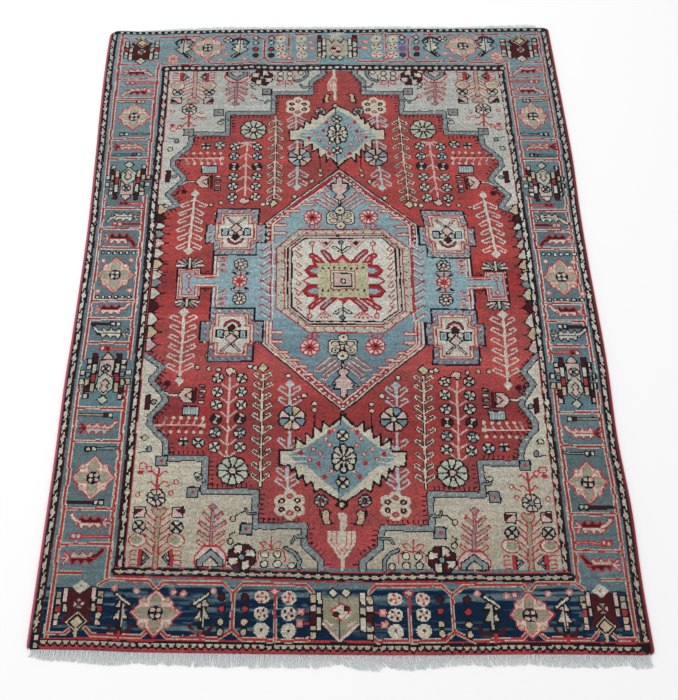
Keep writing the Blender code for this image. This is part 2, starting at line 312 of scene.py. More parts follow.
knot_x, knot_y = np.meshgrid(CHART_LEFT + (np.arange(COLUMNS) + 0.5) * (CHART_RIGHT - CHART_LEFT) / COLUMNS,
                             (np.arange(ROWS) + 0.5) * CHART_LENGTH / ROWS)
plan_x, plan_y = plan_places(*cloth_points((knot_x - CHART_LEFT) / (CHART_RIGHT - CHART_LEFT),
                                           1.0 - knot_y / CHART_LENGTH))
KX = knot_x + (plan_x - knot_x) * inner_share(knot_x, CHART_LEFT, CHART_RIGHT)
KY = knot_y + (plan_y - knot_y) * inner_share(knot_y, 0.0, CHART_LENGTH)
KX += 1.3 * smooth_noise(chart.shape, (9, 40), 1) + 0.8 * smooth_noise(chart.shape, (3, 12), 2)
KY += 1.4 * smooth_noise(chart.shape, (40, 14), 3) + 0.7 * smooth_noise(chart.shape, (12, 4), 4)


def window(xs, ys, margin):
    """The part of the chart where a shape can fall."""
    left = max(0, int((min(xs) - 21.0 - CHART_LEFT - margin) / PITCH))
    right = min(COLUMNS, int((max(xs) + 8.0 - CHART_LEFT + margin) / PITCH) + 1)
    top = max(0, int((min(ys) - 10.0 - margin) / PITCH))
    bottom = min(ROWS, int((max(ys) + 10.0 + margin) / PITCH) + 1)
    return slice(top, max(top, bottom)), slice(left, max(left, right))


def paint_fill(points, dye):
    """Ties every knot inside a closed outline."""
    xs, ys = zip(*points)
    part = window(xs, ys, 0.0)
    gx, gy = KX[part], KY[part]
    inside = np.zeros(gx.shape, bool)
    for (ax, ay), (bx, by) in zip(points, list(points[1:]) + [points[0]]):
        if ay != by:
            inside ^= ((ay > gy) != (by > gy)) & (gx < ax + (gy - ay) * (bx - ax) / (by - ay))
    chart[part][inside] = dye


def paint_line(points, width, dye):
    """Ties the knots along a line."""
    for (ax, ay), (bx, by) in zip(points[:-1], points[1:]):
        part = window((ax, bx), (ay, by), width)
        gx, gy = KX[part], KY[part]
        length = max((bx - ax) ** 2 + (by - ay) ** 2, 1e-6)
        along = np.clip(((gx - ax) * (bx - ax) + (gy - ay) * (by - ay)) / length, 0.0, 1.0)
        off = np.hypot(gx - ax - along * (bx - ax), gy - ay - along * (by - ay))
        chart[part][off <= width / 2.0] = dye


def paint_spot(x, y, rx, ry, dye):
    part = window((x - rx, x + rx), (y - ry, y + ry), 0.0)
    chart[part][((KX[part] - x) / rx) ** 2 + ((KY[part] - y) / ry) ** 2 <= 1.0] = dye


class Pen:
    """Draws in one quarter of the rug. Places are given for the near left quarter and mirrored."""

    def __init__(self, place, right=False, far=False):
        self.place = place
        self.right = right
        self.far = far
        self.dx = 0.0
        self.dy = 0.0

    def nudge(self, most=1.5):
        """The weaver's count of knots is rarely the same twice."""
        self.dx, self.dy = random.uniform(-most, most, 2)

    def to(self, points):
        placed = [self.place(x, y) for x, y in points]
        return [(x + self.dx, y + self.dy) for x, y in placed]

    def fill(self, points, dye, edge=None, width=3.4):
        placed = self.to(points)
        paint_fill(placed, dye)
        if edge is not None:
            paint_line(placed + [placed[0]], width, edge)

    def line(self, points, width, dye):
        paint_line(self.to(points), width, dye)

    def spot(self, x, y, rx, dye, ry=None, edge=None, rim=3.4):
        (px, py), ry = self.to([(x, y)])[0], ry or rx
        if edge is not None:
            paint_spot(px, py, rx + rim, ry + rim, edge)
        paint_spot(px, py, rx, ry, dye)

    def box(self, x0, y0, x1, y1, dye, edge=None, width=3.4):
        self.fill([(x0, y0), (x1, y0), (x1, y1), (x0, y1)], dye, edge, width)

    def diamond(self, x, y, rx, dye, ry=None, edge=None, width=3.4):
        ry = ry or rx
        self.fill([(x - rx, y), (x, y - ry), (x + rx, y), (x, y + ry)], dye, edge, width)

    def polar(self, x, y, radius, angle):
        """A place round a centre, turned the way the quarter is mirrored."""
        (px, py) = self.to([(x, y)])[0]
        sx, sy = (-1 if self.right else 1), (-1 if self.far else 1)
        return px + sx * radius * math.cos(angle), py + sy * radius * math.sin(angle)


def right_place(x, y):
    """Mirrors a place to the right half, which is a little narrower than the left."""
    mirrored = 2 * AXIS - x
    total = np.interp(y, (230, 320, 450, 600, 720, 800, 1150, 1300, 1450, 1530, 1700, 1770),
                      (1437, 1432, 1432, 1436, 1446, 1461, 1460, 1453, 1450, 1442, 1441, 1430))
    if y < 720:
        total += (1454 - total) * np.clip((x - 620) / 60.0, 0.0, 1.0)
    edge = np.interp(y, (190, 700, 1000, 1240, 1500, 1800), (1226, 1233, 1237, 1234, 1229, 1224))
    border = np.interp(mirrored, (1247, 1260, 1286, 1408, 1434, 1454), (0, 9, 33, 144, 166, 176))
    if x < 60:
        return float(np.interp(x, (0, 16, 26, 36.5, 43.5, 50.5, 60),
                               (1402, 1384, 1375.5, 1370.5, 1366, 1361.5, edge + 128.5)))
    if x <= 207:
        return float(edge + border)
    if x < 303:
        share = (x - 207) / 96.0
        return float(edge + (total - 303 - edge) * share)
    return float(total - x)


def far_row(y):
    """Mirrors a row to the far half."""
    return float(np.interp(1975.0 - y, (-25, 172, 275, 363, 451, 600, 680, 987), (0, 190, 285, 368, 451, 607, 689, 987)))


def lower(x, row):
    """The right half's figures stand some knots nearer the near end than the left half's."""
    drop = np.interp(row, (190, 310, 425, 560, 700, 800, 890, 950, 1080, 1200, 1480, 1560, 1640, 1720, 1770, 1804),
                     (3, 2, 0, 2, 10, 14, 14, 9, 7, 11, 10, 7, 8, 11, 8, 3))
    return float(row + drop * np.clip((705.0 - x) / 350.0, 0.0, 1.0) * np.clip((x - 203.0) / 30.0, 0.0, 1.0))


def far_column(x, y):
    """The far left quarter's figures stand a little further in than the near one's."""
    moved = np.interp(x, (0, 207, 303, 383, 435, 510, 520, 590, 628, 668, AXIS),
                      (0, 207, 310, 395, 455, 533, 540, 605, 648, 688, AXIS))
    share = np.clip((742.0 - y) / 12.0, 0.0, 1.0)
    return float(x + (moved - x) * share)


def far_left_place(x, y):
    row = far_row(y)
    return far_column(x, row), row


near_left = Pen(lambda x, y: (x, y))
near_right = Pen(lambda x, y: (right_place(x, y), lower(x, y)), right=True)
far_left = Pen(far_left_place, far=True)
far_right = Pen(lambda x, y: (right_place(x, far_row(y)), lower(x, far_row(y))), right=True, far=True)
QUARTERS = (near_left, near_right, far_left, far_right)
print("chart", ROWS, "rows of", COLUMNS, "knots:", ROWS * COLUMNS)

# %% [markdown]
# The field is red, and each of its corners is an ivory spandrel. A zigzag grey-blue band
# with a row of dots parts the two. The medallion stands in the middle of the field.

# %% Field, spandrels and their zigzag band
SPANDREL_PATH = [(203, 1221), (258, 1262), (230, 1301), (268, 1347), (272, 1360), (237, 1405), (237, 1427),
                 (280, 1478), (283, 1524), (383, 1524), (383, 1612), (510, 1612), (510, 1700), (628, 1700),
                 (628, 1750), (667, 1788), (667, 1808)]


def path_points(points, step):
    """Places at even steps along a line."""
    line = np.array(points, float)
    lengths = np.hypot(*np.diff(line, axis=0).T)
    total = np.concatenate([[0.0], np.cumsum(lengths)])
    at = np.arange(step / 2.0, total[-1], step)
    return list(zip(np.interp(at, total, line[:, 0]), np.interp(at, total, line[:, 1])))


def lay_field(pen):
    pen.box(206, 985, 730, 1804, RED)
    pen.fill(SPANDREL_PATH + [(667, 1804), (206, 1804), (206, 1221)], IVORY)


def zigzag_band(pen):
    pen.line(SPANDREL_PATH, 18.5, BLACK)
    pen.line(SPANDREL_PATH, 13.0, GREY)
    for index, (x, y) in enumerate(path_points(SPANDREL_PATH, 9.0)):
        pen.spot(x, y, 2.0, STEEL if index % 2 else IVORY)
    for x, y, hook in ((273, 1531, LINE), (356, 1616, LINE), (489, 1708, LINE)):
        pen.box(x - 14, y - 14, x + 14, y + 14, GREY, BLACK)
        pen.spot(x, y, 4.5, hook)
    for points in ([(510, 1668), (492, 1668), (486, 1657)], [(628, 1728), (605, 1728), (598, 1742)],
                   [(383, 1583), (366, 1583), (360, 1571)]):
        pen.line(points, 9.0, BLACK)
        pen.line(points, 4.0, GREY)
    line = np.array(SPANDREL_PATH, float)
    for (ax, ay), (bx, by) in zip(line[:-1], line[1:]):
        length = math.hypot(bx - ax, by - ay)
        for step in np.arange(8.0, length - 4.0, 12.0):
            x, y = ax + (bx - ax) * step / length, ay + (by - ay) * step / length
            nx, ny = (by - ay) / length, -(bx - ax) / length
            pen.line([(x + 12 * nx, y + 12 * ny), (x + 20 * nx, y + 20 * ny)], 3.3, BLACK)


for pen in QUARTERS:
    lay_field(pen)
for pen in QUARTERS:
    zigzag_band(pen)
print("red knots", int((chart == RED).sum()), "ivory", int((chart == IVORY).sum()))

# %% [markdown]
# Along each side runs a set of narrow stripes: a black guard with long ivory beads, a sky
# blue strip, and a red line between two ivory ones. The same set, turned about, stands
# next to the field.

# %% Guards and lines of the long sides
SIDE_STRIPES = ((0.0, 25.0, BLACK), (25.0, 28.5, MAROON), (36.5, 40.0, IVORY), (40.0, 46.5, LINE), (46.5, 50.0, IVORY),
                (161.0, 164.5, IVORY), (164.5, 171.0, LINE), (171.0, 174.5, IVORY), (181.5, 185.0, MAROON),
                (185.0, 203.5, BLACK), (203.5, 206.5, LINE))


def bead_chain(pen, x, low, high, pitch, rx, ry):
    """Long ivory beads down a guard, joined by a thin slanting thread."""
    count = int((high - low) / pitch)
    step = (high - low) / count
    for index in range(count):
        y = low + step * (index + 0.5)
        pen.nudge(1.2)
        pen.line([(x + 3.0, y - step / 2.0), (x - 3.0, y + step / 2.0)], 2.9, IVORY)
        pen.spot(x, y, rx, IVORY if random.uniform() < 0.9 else PINK, ry=ry)
    pen.nudge(0.0)


def side_stripes(pen):
    for x0, x1, dye in SIDE_STRIPES:
        end = 1829.0 if x0 > 60 else 2001.0
        if x0 in (161.0, 164.5, 171.0):
            end = 1836.0
        pen.box(x0, 980.0, x1, end, dye)
    bead_chain(pen, 16.5, 987.0, 1985.0, 33.0, 4.8, 9.5)
    bead_chain(pen, 194.5, 987.0, 1812.0, 35.0, 5.2, 10.5)


for pen in QUARTERS:
    side_stripes(pen)

# %% [markdown]
# The far and near ends have their own guards. At the far end it is a black and ivory
# chequer; at the near end ivory teeth stand on black, with a red edge outside them. The
# guard next to the field is a row of ivory beads on black.

# %% Guards of the ends
def bead_row(points, pitch, rx, ry, pale):
    for x, y in path_points(points, pitch):
        dx, dy = random.uniform(-1.4, 1.4, 2)
        paint_spot(x + dx, y + dy, rx, ry, pale if random.uniform() < 0.86 else PINK)


def end_guards():
    inner_near = [(186, 1816), (350, 1817), (640, 1824), (760, 1826), (900, 1823), (1100, 1825), (1243, 1821)]
    paint_line([(x, y - 10) for x, y in inner_near], 4.0, LINE)
    paint_line([(x, y + 12) for x, y in inner_near], 4.0, LINE)
    paint_line(inner_near, 19.0, BLACK)
    bead_row(inner_near, 22.0, 8.8, 4.6, IVORY)
    paint_line(inner_near, 2.9, IVORY)
    inner_far = [(186, 178), (260, 174), (350, 178), (470, 170), (560, 177), (700, 174), (900, 178), (1243, 182)]
    paint_line([(x, y + 11) for x, y in inner_far], 4.0, MAROON)
    paint_line([(x, y - 11) for x, y in inner_far], 3.5, MAROON)
    paint_line(inner_far, 18.0, BLACK)
    bead_row(inner_far, 20.5, 6.5, 5.2, IVORY)
    paint_fill([(8, 0), (1393, 0), (1393, 5), (8, 4)], STEEL)
    paint_line([(30, 11), (1385, 13)], 15.0, BLACK)
    for index, (x, y) in enumerate(path_points([(28, 10), (1380, 12)], 20.5)):
        wave = 1.6 * math.sin(index * 0.7)
        paint_fill([(x - 5, y - 4 + wave), (x + 4, y - 5 + wave), (x + 5, y + 4 + wave), (x - 4, y + 4 + wave)],
                   IVORY if index % 6 else PINK)
    paint_fill([(8, 1972), (1393, 1970), (1393, 1975), (8, 1977)], LINE)
    paint_fill([(8, 1976), (1393, 1974), (1393, 1998), (8, 1994)], BLACK)
    for index, (x, y) in enumerate(path_points([(30, 1983), (1376, 1985)], 17.0)):
        paint_fill([(x - 8, y - 3), (x + 8, y - 3), (x + 2, y + 5), (x - 3, y + 5)], IVORY if index % 7 else TAN)
    for x, y in path_points([(21, 1991), (1385, 1994)], 17.0):
        paint_spot(x, y + 1, 5.0, 3.4, RED)
    paint_fill([(8, 1993), (600, 1994), (1393, 1997), (1393, 2001), (8, 2001)], RED)
    paint_fill([(8, 1960), (30, 1962), (30, 2001), (8, 2001)], BLACK)
    bead_row([(20, 1962), (20, 1998)], 18.0, 4.5, 7.0, IVORY)


end_guards()
print("black knots", int((chart == BLACK).sum()))

# %% [markdown]
# Small motifs that return all over the rug: the round rosette with four petals in a black
# ring, beads, and trees with hooked twigs.

# %% Small motifs
def rosette(pen, x, y, r, one, two, core, ring=BLACK, turn=0.0):
    """A black disc with four pale petals between dark spokes, and a small heart."""
    pen.nudge(1.2)
    pen.spot(x, y, r, ring)
    inner = r - 3.2
    for k in range(4):
        angle = turn + math.pi / 2.0 * k
        wedge = [pen.polar(x, y, 3.0, angle)]
        wedge += [pen.polar(x, y, inner, angle + part) for part in (-0.56, -0.25, 0.25, 0.56)]
        paint_fill(wedge, one if k % 2 else two)
    for k in range(4):
        angle = turn + math.pi / 2.0 * k + math.pi / 4.0
        paint_line([pen.polar(x, y, 3.0, angle), pen.polar(x, y, inner, angle)], 2.9, ring)
    pen.spot(x, y, r * 0.2 + 1.6, ring)
    pen.spot(x, y, max(r * 0.14, 1.9), core)
    pen.nudge(0.0)


def petals(pen, x, y, r, dyes, core, ring=BLACK, inner=0.2, width=3.4, turn=None):
    """A larger flower: wedge petals with black lines between, round a small heart."""
    pen.nudge(1.2)
    count = len(dyes)
    turn = math.pi / count if turn is None else turn
    outline = []
    for k in range(count):
        for part, reach in ((-0.5, 0.93), (-0.25, 1.03), (0.0, 1.05), (0.25, 1.03)):
            outline.append(pen.polar(x, y, (r + 2.0) * reach, turn + 2.0 * math.pi * (k + part) / count))
    paint_fill(outline, ring)
    for k, dye in enumerate(dyes):
        angle = turn + 2.0 * math.pi * k / count
        half = math.pi / count - width / (1.7 * r)
        shape = [pen.polar(x, y, r * inner + 2.5, angle)]
        for part in (-1.0, -0.6, 0.0, 0.6, 1.0):
            reach = r - 1.5 if abs(part) < 0.9 else r - 4.0
            shape.append(pen.polar(x, y, reach, angle + part * half))
        paint_fill(shape, dye)
    if core is not None:
        pen.spot(x, y, r * inner, core)
    pen.nudge(0.0)


def twig(pen, x, y, reach, rise, width, dye, edge=None):
    """A twig on each side that slants away from the stem and bends back at its tip like a cane."""
    for thick, shade in ((width + 3.4, edge), (width, dye)):
        if shade is None:
            continue
        for side in (-1.0, 1.0):
            pen.line([(x, y), (x + side * reach, y + rise), (x + side * reach * 0.83, y + rise * 1.38),
                      (x + side * reach * 0.38, y + rise * 1.02)], thick, shade)


# %% [markdown]
# The side borders are cut into compartments by the red line. In them stand a crab-like
# figure, a cross-shaped rosette, small serpents or boats with teeth, leaves, and a bar with
# two beads like a matchstick.

# %% Side borders
SIDE_ROWS = {
    "near_left": ((700, 1053, 1111, 1187, 1384, 1478, 1660, 1750, 1820), (700, 1053, 1111, 1187, 1384, 1478, 1660, 1750, 1820)),
    "near_right": ((700, 965, 1053, 1111, 1187, 1384, 1478, 1660, 1750, 1820),
                   (705, 972, 1062, 1118, 1195, 1392, 1486, 1665, 1757, 1827)),
    "far_left": ((965, 1053, 1111, 1187, 1384, 1478, 1660, 1750, 1820), (965, 877, 808, 735, 547, 470, 303, 220, 157)),
    "far_right": ((965, 1053, 1111, 1187, 1384, 1478, 1660, 1750, 1820), (972, 880, 818, 745, 556, 477, 306, 222, 158)),
}


def side_pen(name):
    rows = SIDE_ROWS[name]
    right = name.endswith("right")

    def place(x, y):
        row = float(np.interp(y, *rows))
        return (right_place(x, row) if right else x), row

    return Pen(place, right=right, far=name.startswith("far"))


SIDES = {name: side_pen(name) for name in SIDE_ROWS}


def divider(pen, y, x0=51.0, x1=163.0):
    pen.line([(x0, y), (x1, y)], 10.5, IVORY)
    pen.line([(x0 - 3, y), (x1 + 3, y)], 5.0, LINE)


def matchstick(pen, y, x0, x1, heads, stick, edge=BLACK):
    """A thin bar with two beads at one end."""
    pen.nudge(1.0)
    pen.line([(x0, y), (x1, y)], 9.4, edge)
    pen.line([(x0, y), (x1, y)], 3.6, stick)
    for x, dye in heads:
        pen.box(x - 6, y - 6, x + 6, y + 6, dye, edge, 3.6)
    pen.nudge(0.0)


def serpent(pen, y, upper, lower, head, neck, edge=LINE, tail=PINK):
    """A boat of two rows of teeth, with a raised neck at one end and a forked tail at the other.

    Head is 1 for a head on the right, neck is -1 for a neck that points to the far end.
    """
    turn = -1 if pen.far else 1

    def at(points):
        return [(108 + head * a, y + turn * b) for a, b in points]

    pen.nudge(1.5)
    for rise, dye in ((-1, upper), (1, lower)):
        row = [(-31, 0), (-31, 7), (-25, 18), (-17, 8), (-11, 8), (-4, 18), (3, 8), (9, 8), (16, 17), (23, 7), (30, 5),
               (30, 0)]
        pen.fill(at([(a, rise * b) for a, b in row]), dye, edge, 3.2)
    pen.line(at([(22, 2 * neck), (32, 6 * neck), (43, 20 * neck)]), 12.0, edge)
    pen.line(at([(20, 2 * neck), (32, 6 * neck), (42, 19 * neck)]), 6.0, lower if neck < 0 else upper)
    for points in ([(-34, 0), (-47, -14)], [(-34, 0), (-47, 14)], [(-36, 0), (-52, 0)]):
        pen.line(at(points), 7.4, edge)
    for points in ([(-35, 0), (-46, -13)], [(-35, 0), (-46, 13)], [(-36, 0), (-51, 0)]):
        pen.line(at(points), 3.0, tail)
    pen.nudge(0.0)


def side_cross(pen, x, y, wide=53.0, tall=59.0):
    """The star of the borders: four olive lobes and four small boxes in a thin double red line."""
    pen.nudge(1.2)
    quarter = [(-wide, 0), (-0.7 * wide, -0.3 * tall), (-0.68 * wide, -0.52 * tall), (-0.42 * wide, -0.6 * tall),
               (-0.33 * wide, -0.68 * tall), (0, -tall)]
    lobe_up = [(-12, -12), (-13, -0.5 * tall), (-9, -0.7 * tall), (0, -0.86 * tall)]
    lobe_side = [(-0.86 * wide, 0), (-0.7 * wide, -10), (-0.5 * wide, -14), (-12, -12)]
    star = [(x + a, y + b) for a, b in quarter] + [(x - a, y + b) for a, b in quarter[-2::-1]]
    star += [(x - a, y - b) for a, b in quarter[1:]] + [(x + a, y - b) for a, b in quarter[-2:0:-1]]
    pen.fill(star, CREAM, LINE, 3.4)
    for s in (-1, 1):
        pen.fill([(x + a, y + s * b) for a, b in lobe_up] + [(x - a, y + s * b) for a, b in lobe_up[-2::-1]],
                 OLIVE, SALMON, 3.0)
        pen.fill([(x + s * a, y + b) for a, b in lobe_side] + [(x + s * a, y - b) for a, b in lobe_side[::-1]],
                 OLIVE, SALMON, 3.0)
        for t in (-1, 1):
            pen.spot(x + s * 27, y + t * 29, 4.4, IVORY, edge=SALMON, rim=3.0)
    pen.spot(x, y, 17, BLACK)
    pen.nudge(0.0)
    for k in range(4):
        px, py = pen.polar(x, y, 9.4, math.pi / 2 * k + math.pi / 4)
        paint_spot(px, py, 5.0, 5.0, IVORY if k % 2 else PINK)
    pen.spot(x, y, 3.0, MAROON)


def side_crab(pen):
    """The crab of the side border, black outlined, with bead columns for its legs."""
    pen.diamond(111, 1234, 15, PINK, 17, BLACK)
    for s in (-1.0, 1.0):
        column = ((50.0, 1280, 7.5, 8, IVORY), (50.0, 1307, 7.5, 8, IVORY if s < 0 else TAN),
                  (46.0, 1246, 7.0, 7.5, IVORY), (46.0, 1263, 7.0, 7.0, PINK), (45.0, 1285, 6.5, 7.0, GREY),
                  (45.0, 1308, 6.0, 10.0, TAN), (45.0, 1330, 7.5, 8.0, MAROON), (45.0, 1350, 7.0, 8.0, PINK))
        for index, (reach, y, rx, ry, dye) in enumerate(column):
            reach = 61.0 if index < 2 else reach
            x = 109 + s * reach
            pen.box(x - rx, y - ry, x + rx, y + ry, dye, BLACK, 3.6)
        for y0, y1, dye in ((1222, 1249, MAROON), (1251, 1282, IVORY), (1284, 1307, LINE), (1309, 1336, TAN)):
            x = 110 + s * 31
            pen.box(x - 6, y0, x + 6, y1, dye, BLACK, 3.4)
    pen.box(91, 1240, 130, 1291, PINK, BLACK)
    pen.fill([(90, 1298), (110, 1277), (131, 1298), (133, 1325), (111, 1350), (88, 1325)], SAGE, BLACK)
    pen.diamond(110, 1360, 15, SAGE, 14, BLACK)
    pen.fill([(99, 1311), (110, 1297), (121, 1311), (115, 1319), (121, 1328), (110, 1340), (99, 1328), (105, 1319)],
             PINK, BLACK, 3.2)
    rosette(pen, 110, 1266, 14, GREY, IVORY, MAROON)


def side_border(name):
    pen = SIDES[name]
    for y in (1053, 1111, 1187, 1384, 1478, 1660, 1750):
        divider(pen, y)
    divider(pen, 1820, 50.0, 106.0)
    far = pen.far
    serpent(pen, 1082, MAROON, IVORY, 1, 1 if far else -1)
    serpent(pen, 1157, CREAM, IVORY, -1, 1 if far else -1, BLACK)
    serpent(pen, 1443, TAN if far else PINK, PINK if far else SAGE, 1, 1 if far else -1, LINE, MAROON)
    if far:
        matchstick(pen, 1130, 112, 158, ((88, PINK), (101, PINK)), MAROON, LINE)
        matchstick(pen, 1206, 112, 160, ((101, MAROON), (115, MAROON)), SALMON, LINE)
        matchstick(pen, 1403, 58, 112, ((134, IVORY), (120, LINE)), GREY)
        matchstick(pen, 1499, 108, 158, ((78, IVORY), (93, IVORY)), GREY)
        matchstick(pen, 1645, 52, 110, ((120, IVORY), (132, TAN)), TAN)
        matchstick(pen, 1732, 104, 160, ((76, PINK), (92, PINK)), SALMON, LINE)
    else:
        matchstick(pen, 1128, 57, 108, ((117, IVORY), (131, IVORY)), MAROON)
        matchstick(pen, 1206, 112, 162, ((94, IVORY), (106, MAROON)), SALMON, LINE)
        matchstick(pen, 1403, 56, 118, ((124, MAROON), (136, IVORY)), TAN)
        matchstick(pen, 1499, 112, 163, ((88, IVORY), (103, IVORY)), GREY)
        matchstick(pen, 1643, 52, 112, ((121, IVORY), (134, IVORY)), MAROON)
        matchstick(pen, 1731, 98, 160, ((76, IVORY), (88, PINK)), SALMON, LINE)
    if far:
        serpent(pen, 1694, IVORY, MAROON, -1, 1)
    else:
        serpent(pen, 1694, MAROON, CREAM, -1, -1)
    serpent(pen, 1785, IVORY, MAROON, 1, 1 if far else -1)
    side_cross(pen, 109, 1576)
    pen.box(40, 1240, 54, 1318, BLUE)
    pen.box(160, 1240, 176, 1318, BLUE)
    side_crab(pen)
    if not far:
        side_cross(pen, 105, 968, 54.0, 62.0)
        for x, y in ((67, 921), (147, 918), (60, 1022), (150, 1020)):
            pen.spot(x, y, 4.5, IVORY, edge=SALMON, rim=3.6)
        for row in (893, 1041):
            for k in range(6):
                px, py = pen.to([(62 + 17.6 * k, row)])[0]
                paint_spot(px, py, 7.0, 7.0, BLACK)
                paint_spot(px, py, 3.2, 3.6, IVORY)


for name in SIDES:
    side_border(name)
print("side borders drawn")

# %% [markdown]
# Next to the field's edge stands a row of pale and dark teeth. Ticks of black stand between
# them.

# %% Teeth along the field
TEETH = ((905, 942, TAN), (945, 971, IVORY), (975, 1010, GREY), (1012, 1049, CREAM), (1052, 1090, MAROON),
         (1093, 1135, IVORY), (1135, 1175, TAN), (1175, 1215, PINK))


def field_teeth(pen, table):
    for low, high, dye in table:
        pen.nudge(1.2)
        middle = (low + high) / 2.0
        pen.fill([(207, low), (218, low), (237, middle), (218, high), (207, high)], dye, BLACK, 3.6)
        pen.line([(239, middle), (247, middle)], 3.6, BLACK)
        pen.line([(222, high + 1), (228, high + 1)], 5.0, BLACK)
        pen.line([(231, high + 1), (236, high + 1)], 3.0, LINE)
    pen.nudge(0.0)


for pen in QUARTERS:
    table = TEETH
    if pen.far:
        table = ((990, 1022, CREAM), (1028, 1063, TAN), (1066, 1100, CREAM), (1104, 1136, PINK), (1140, 1168, GREY),
                 (1170, 1194, IVORY), (1198, 1222, MAROON), (1226, 1262, TAN))
    field_teeth(pen, table)

# %% [markdown]
# The field's own motifs are the same few in every quarter: an ivory fir, a tree of rosettes, a
# long tree whose twigs bend like canes, and small pale trees. A twig is one bent line, so all the
# trees share it.

# %% Trees and flowers of the red field
def fir(pen, x, top, bottom, rows, dye, trunk, reach, rise, width, edge=None):
    """A straight trunk with pairs of twigs that slant up from it."""
    if edge is not None:
        pen.line([(x, top), (x, bottom)], trunk + 4.6, edge)
    for y in rows:
        pen.nudge(1.2)
        twig(pen, x, y, reach, rise, width, dye, edge)
    pen.nudge(0.0)
    pen.line([(x, top), (x, bottom)], trunk, dye)


def ivory_fir(pen):
    fir(pen, 304, 1092, 1305, (1128, 1160, 1190, 1221, 1250, 1281), IVORY, 7.0, 36.0, -21.0, 3.8)
    pen.diamond(304, 1092, 15, IVORY, 15)
    pen.diamond(304, 1302, 13, IVORY, 14)
    pen.fill([(301, 1310), (307, 1310), (304, 1322)], IVORY)


def rosette_tree(pen):
    far = pen.far
    pen.line([(435, 1290), (435, 1490 if far else 1522)], 5.0, PINK)
    for y in (1318, 1358, 1398, 1438, 1478):
        for s in (-1, 1):
            pen.line([(435, y + 10), (435 + s * 20, y - 6)], 4.0, PINK)
    rows = ((1295, IVORY, CREAM, PINK), (1335, IVORY, IVORY, SKY), (1374, CREAM, IVORY, BLUE),
            (1413, IVORY, MAROON, PINK), (1453, BLUE, IVORY, IVORY), (1491, IVORY, CREAM, BLUE))
    for y, one, two, core in rows:
        y = float(np.interp(y, (1295, 1491), (1291, 1475))) if far else y
        for s in (-1, 1):
            rosette(pen, 435 + s * 31, y, 16.5, one, two, core, turn=0.4 * random.uniform(-1, 1))
    pen.fill([(422, 1268), (437, 1262), (448, 1270), (452, 1284), (440, 1280), (436, 1290), (426, 1284)], PINK, BLACK, 3.6)
    pen.spot(437, 1272, 4.0, STRAW)
    if far:
        pen.line([(414, 1490), (457, 1490)], 6.0, PINK)
    else:
        for s in (-1, 1):
            pen.line([(435, 1522), (435 + s * 12, 1514), (435 + s * 20, 1504)], 4.0, PINK)


def comb_tree(pen):
    rows = (1303, 1331, 1362, 1391, 1419, 1456, 1488, 1523, 1556, 1586)
    fir(pen, 520, 1276, 1598, rows, CREAM, 4.2, 24.0, -18.0, 3.0, BLACK)
    pen.diamond(520, 1264, 14, STRAW, 16, BLACK, 3.4)


def small_tree(pen, x, top, bottom, rows, dye, diamond=True):
    fir(pen, x, top, bottom, rows, dye, 7.0, 28.0, -23.0, 4.2)
    if diamond:
        pen.diamond(x, top, 13, dye, 14)


def blossom(pen, x, y):
    """An ivory flower head with four dark red petals."""
    pen.nudge(1.5)
    for k in range(6):
        px, py = pen.polar(x, y, 25, math.pi / 3 * k + 0.5)
        paint_spot(px, py, 15, 15, CREAM)
    pen.spot(x, y, 24, CREAM)
    for k, dye in enumerate((MAROON, RED, MAROON, MAROON, RED, MAROON)):
        px, py = pen.polar(x, y, 22, math.pi / 3 * k + 0.5)
        paint_spot(px, py, 8.6, 7.4, dye)
        paint_spot(px, py, 2.6, 2.6, PINK)
    pen.nudge(0.0)


def tulip(pen):
    """A pink arrowhead flower on a bent ivory stem, with a dark bar and bars beside it."""
    pen.line([(270, 1338), (282, 1346), (304, 1346)], 9.0, BLACK)
    pen.line([(268, 1337), (282, 1346), (306, 1346)], 4.2, IVORY)
    pen.fill([(302, 1346), (318, 1324), (339, 1324), (341, 1368), (318, 1368)], PINK, BLACK)
    pen.fill([(320, 1346), (338, 1332), (338, 1360)], TAN, BLACK, 3.4)
    pen.box(343, 1322, 351, 1370, MAROON)
    for y, dye in ((1318, GREY), (1333, IVORY), (1348, GREY), (1366, IVORY)):
        pen.box(356, y - 4, 372, y + 4, dye, BLACK, 3.4)


def comb_rows(pen):
    pen.line([(252, 1432), (372, 1432)], 4.4, PINK)
    for k in range(6):
        x = 270 + k * 19
        pen.nudge(1.0)
        pen.line([(x, 1432), (x + 6, 1420)], 3.4, PINK)
        pen.line([(x + 3, 1436), (x - 3, 1444)], 3.4, MAROON)
        dye = GREY if k == 0 else IVORY
        pen.spot(x + 8, 1412, 4.6, dye, ry=5.2)
        pen.spot(x + 4, 1451, 4.4, dye)
    pen.nudge(0.0)
    pen.box(368, 1426, 378, 1438, PINK)
    pen.box(317, 1378, 360, 1404, SKY, BLACK)
    for k in range(5):
        pen.line([(324 + 7 * k, 1382), (324 + 7 * k, 1400)], 2.9, GREY)


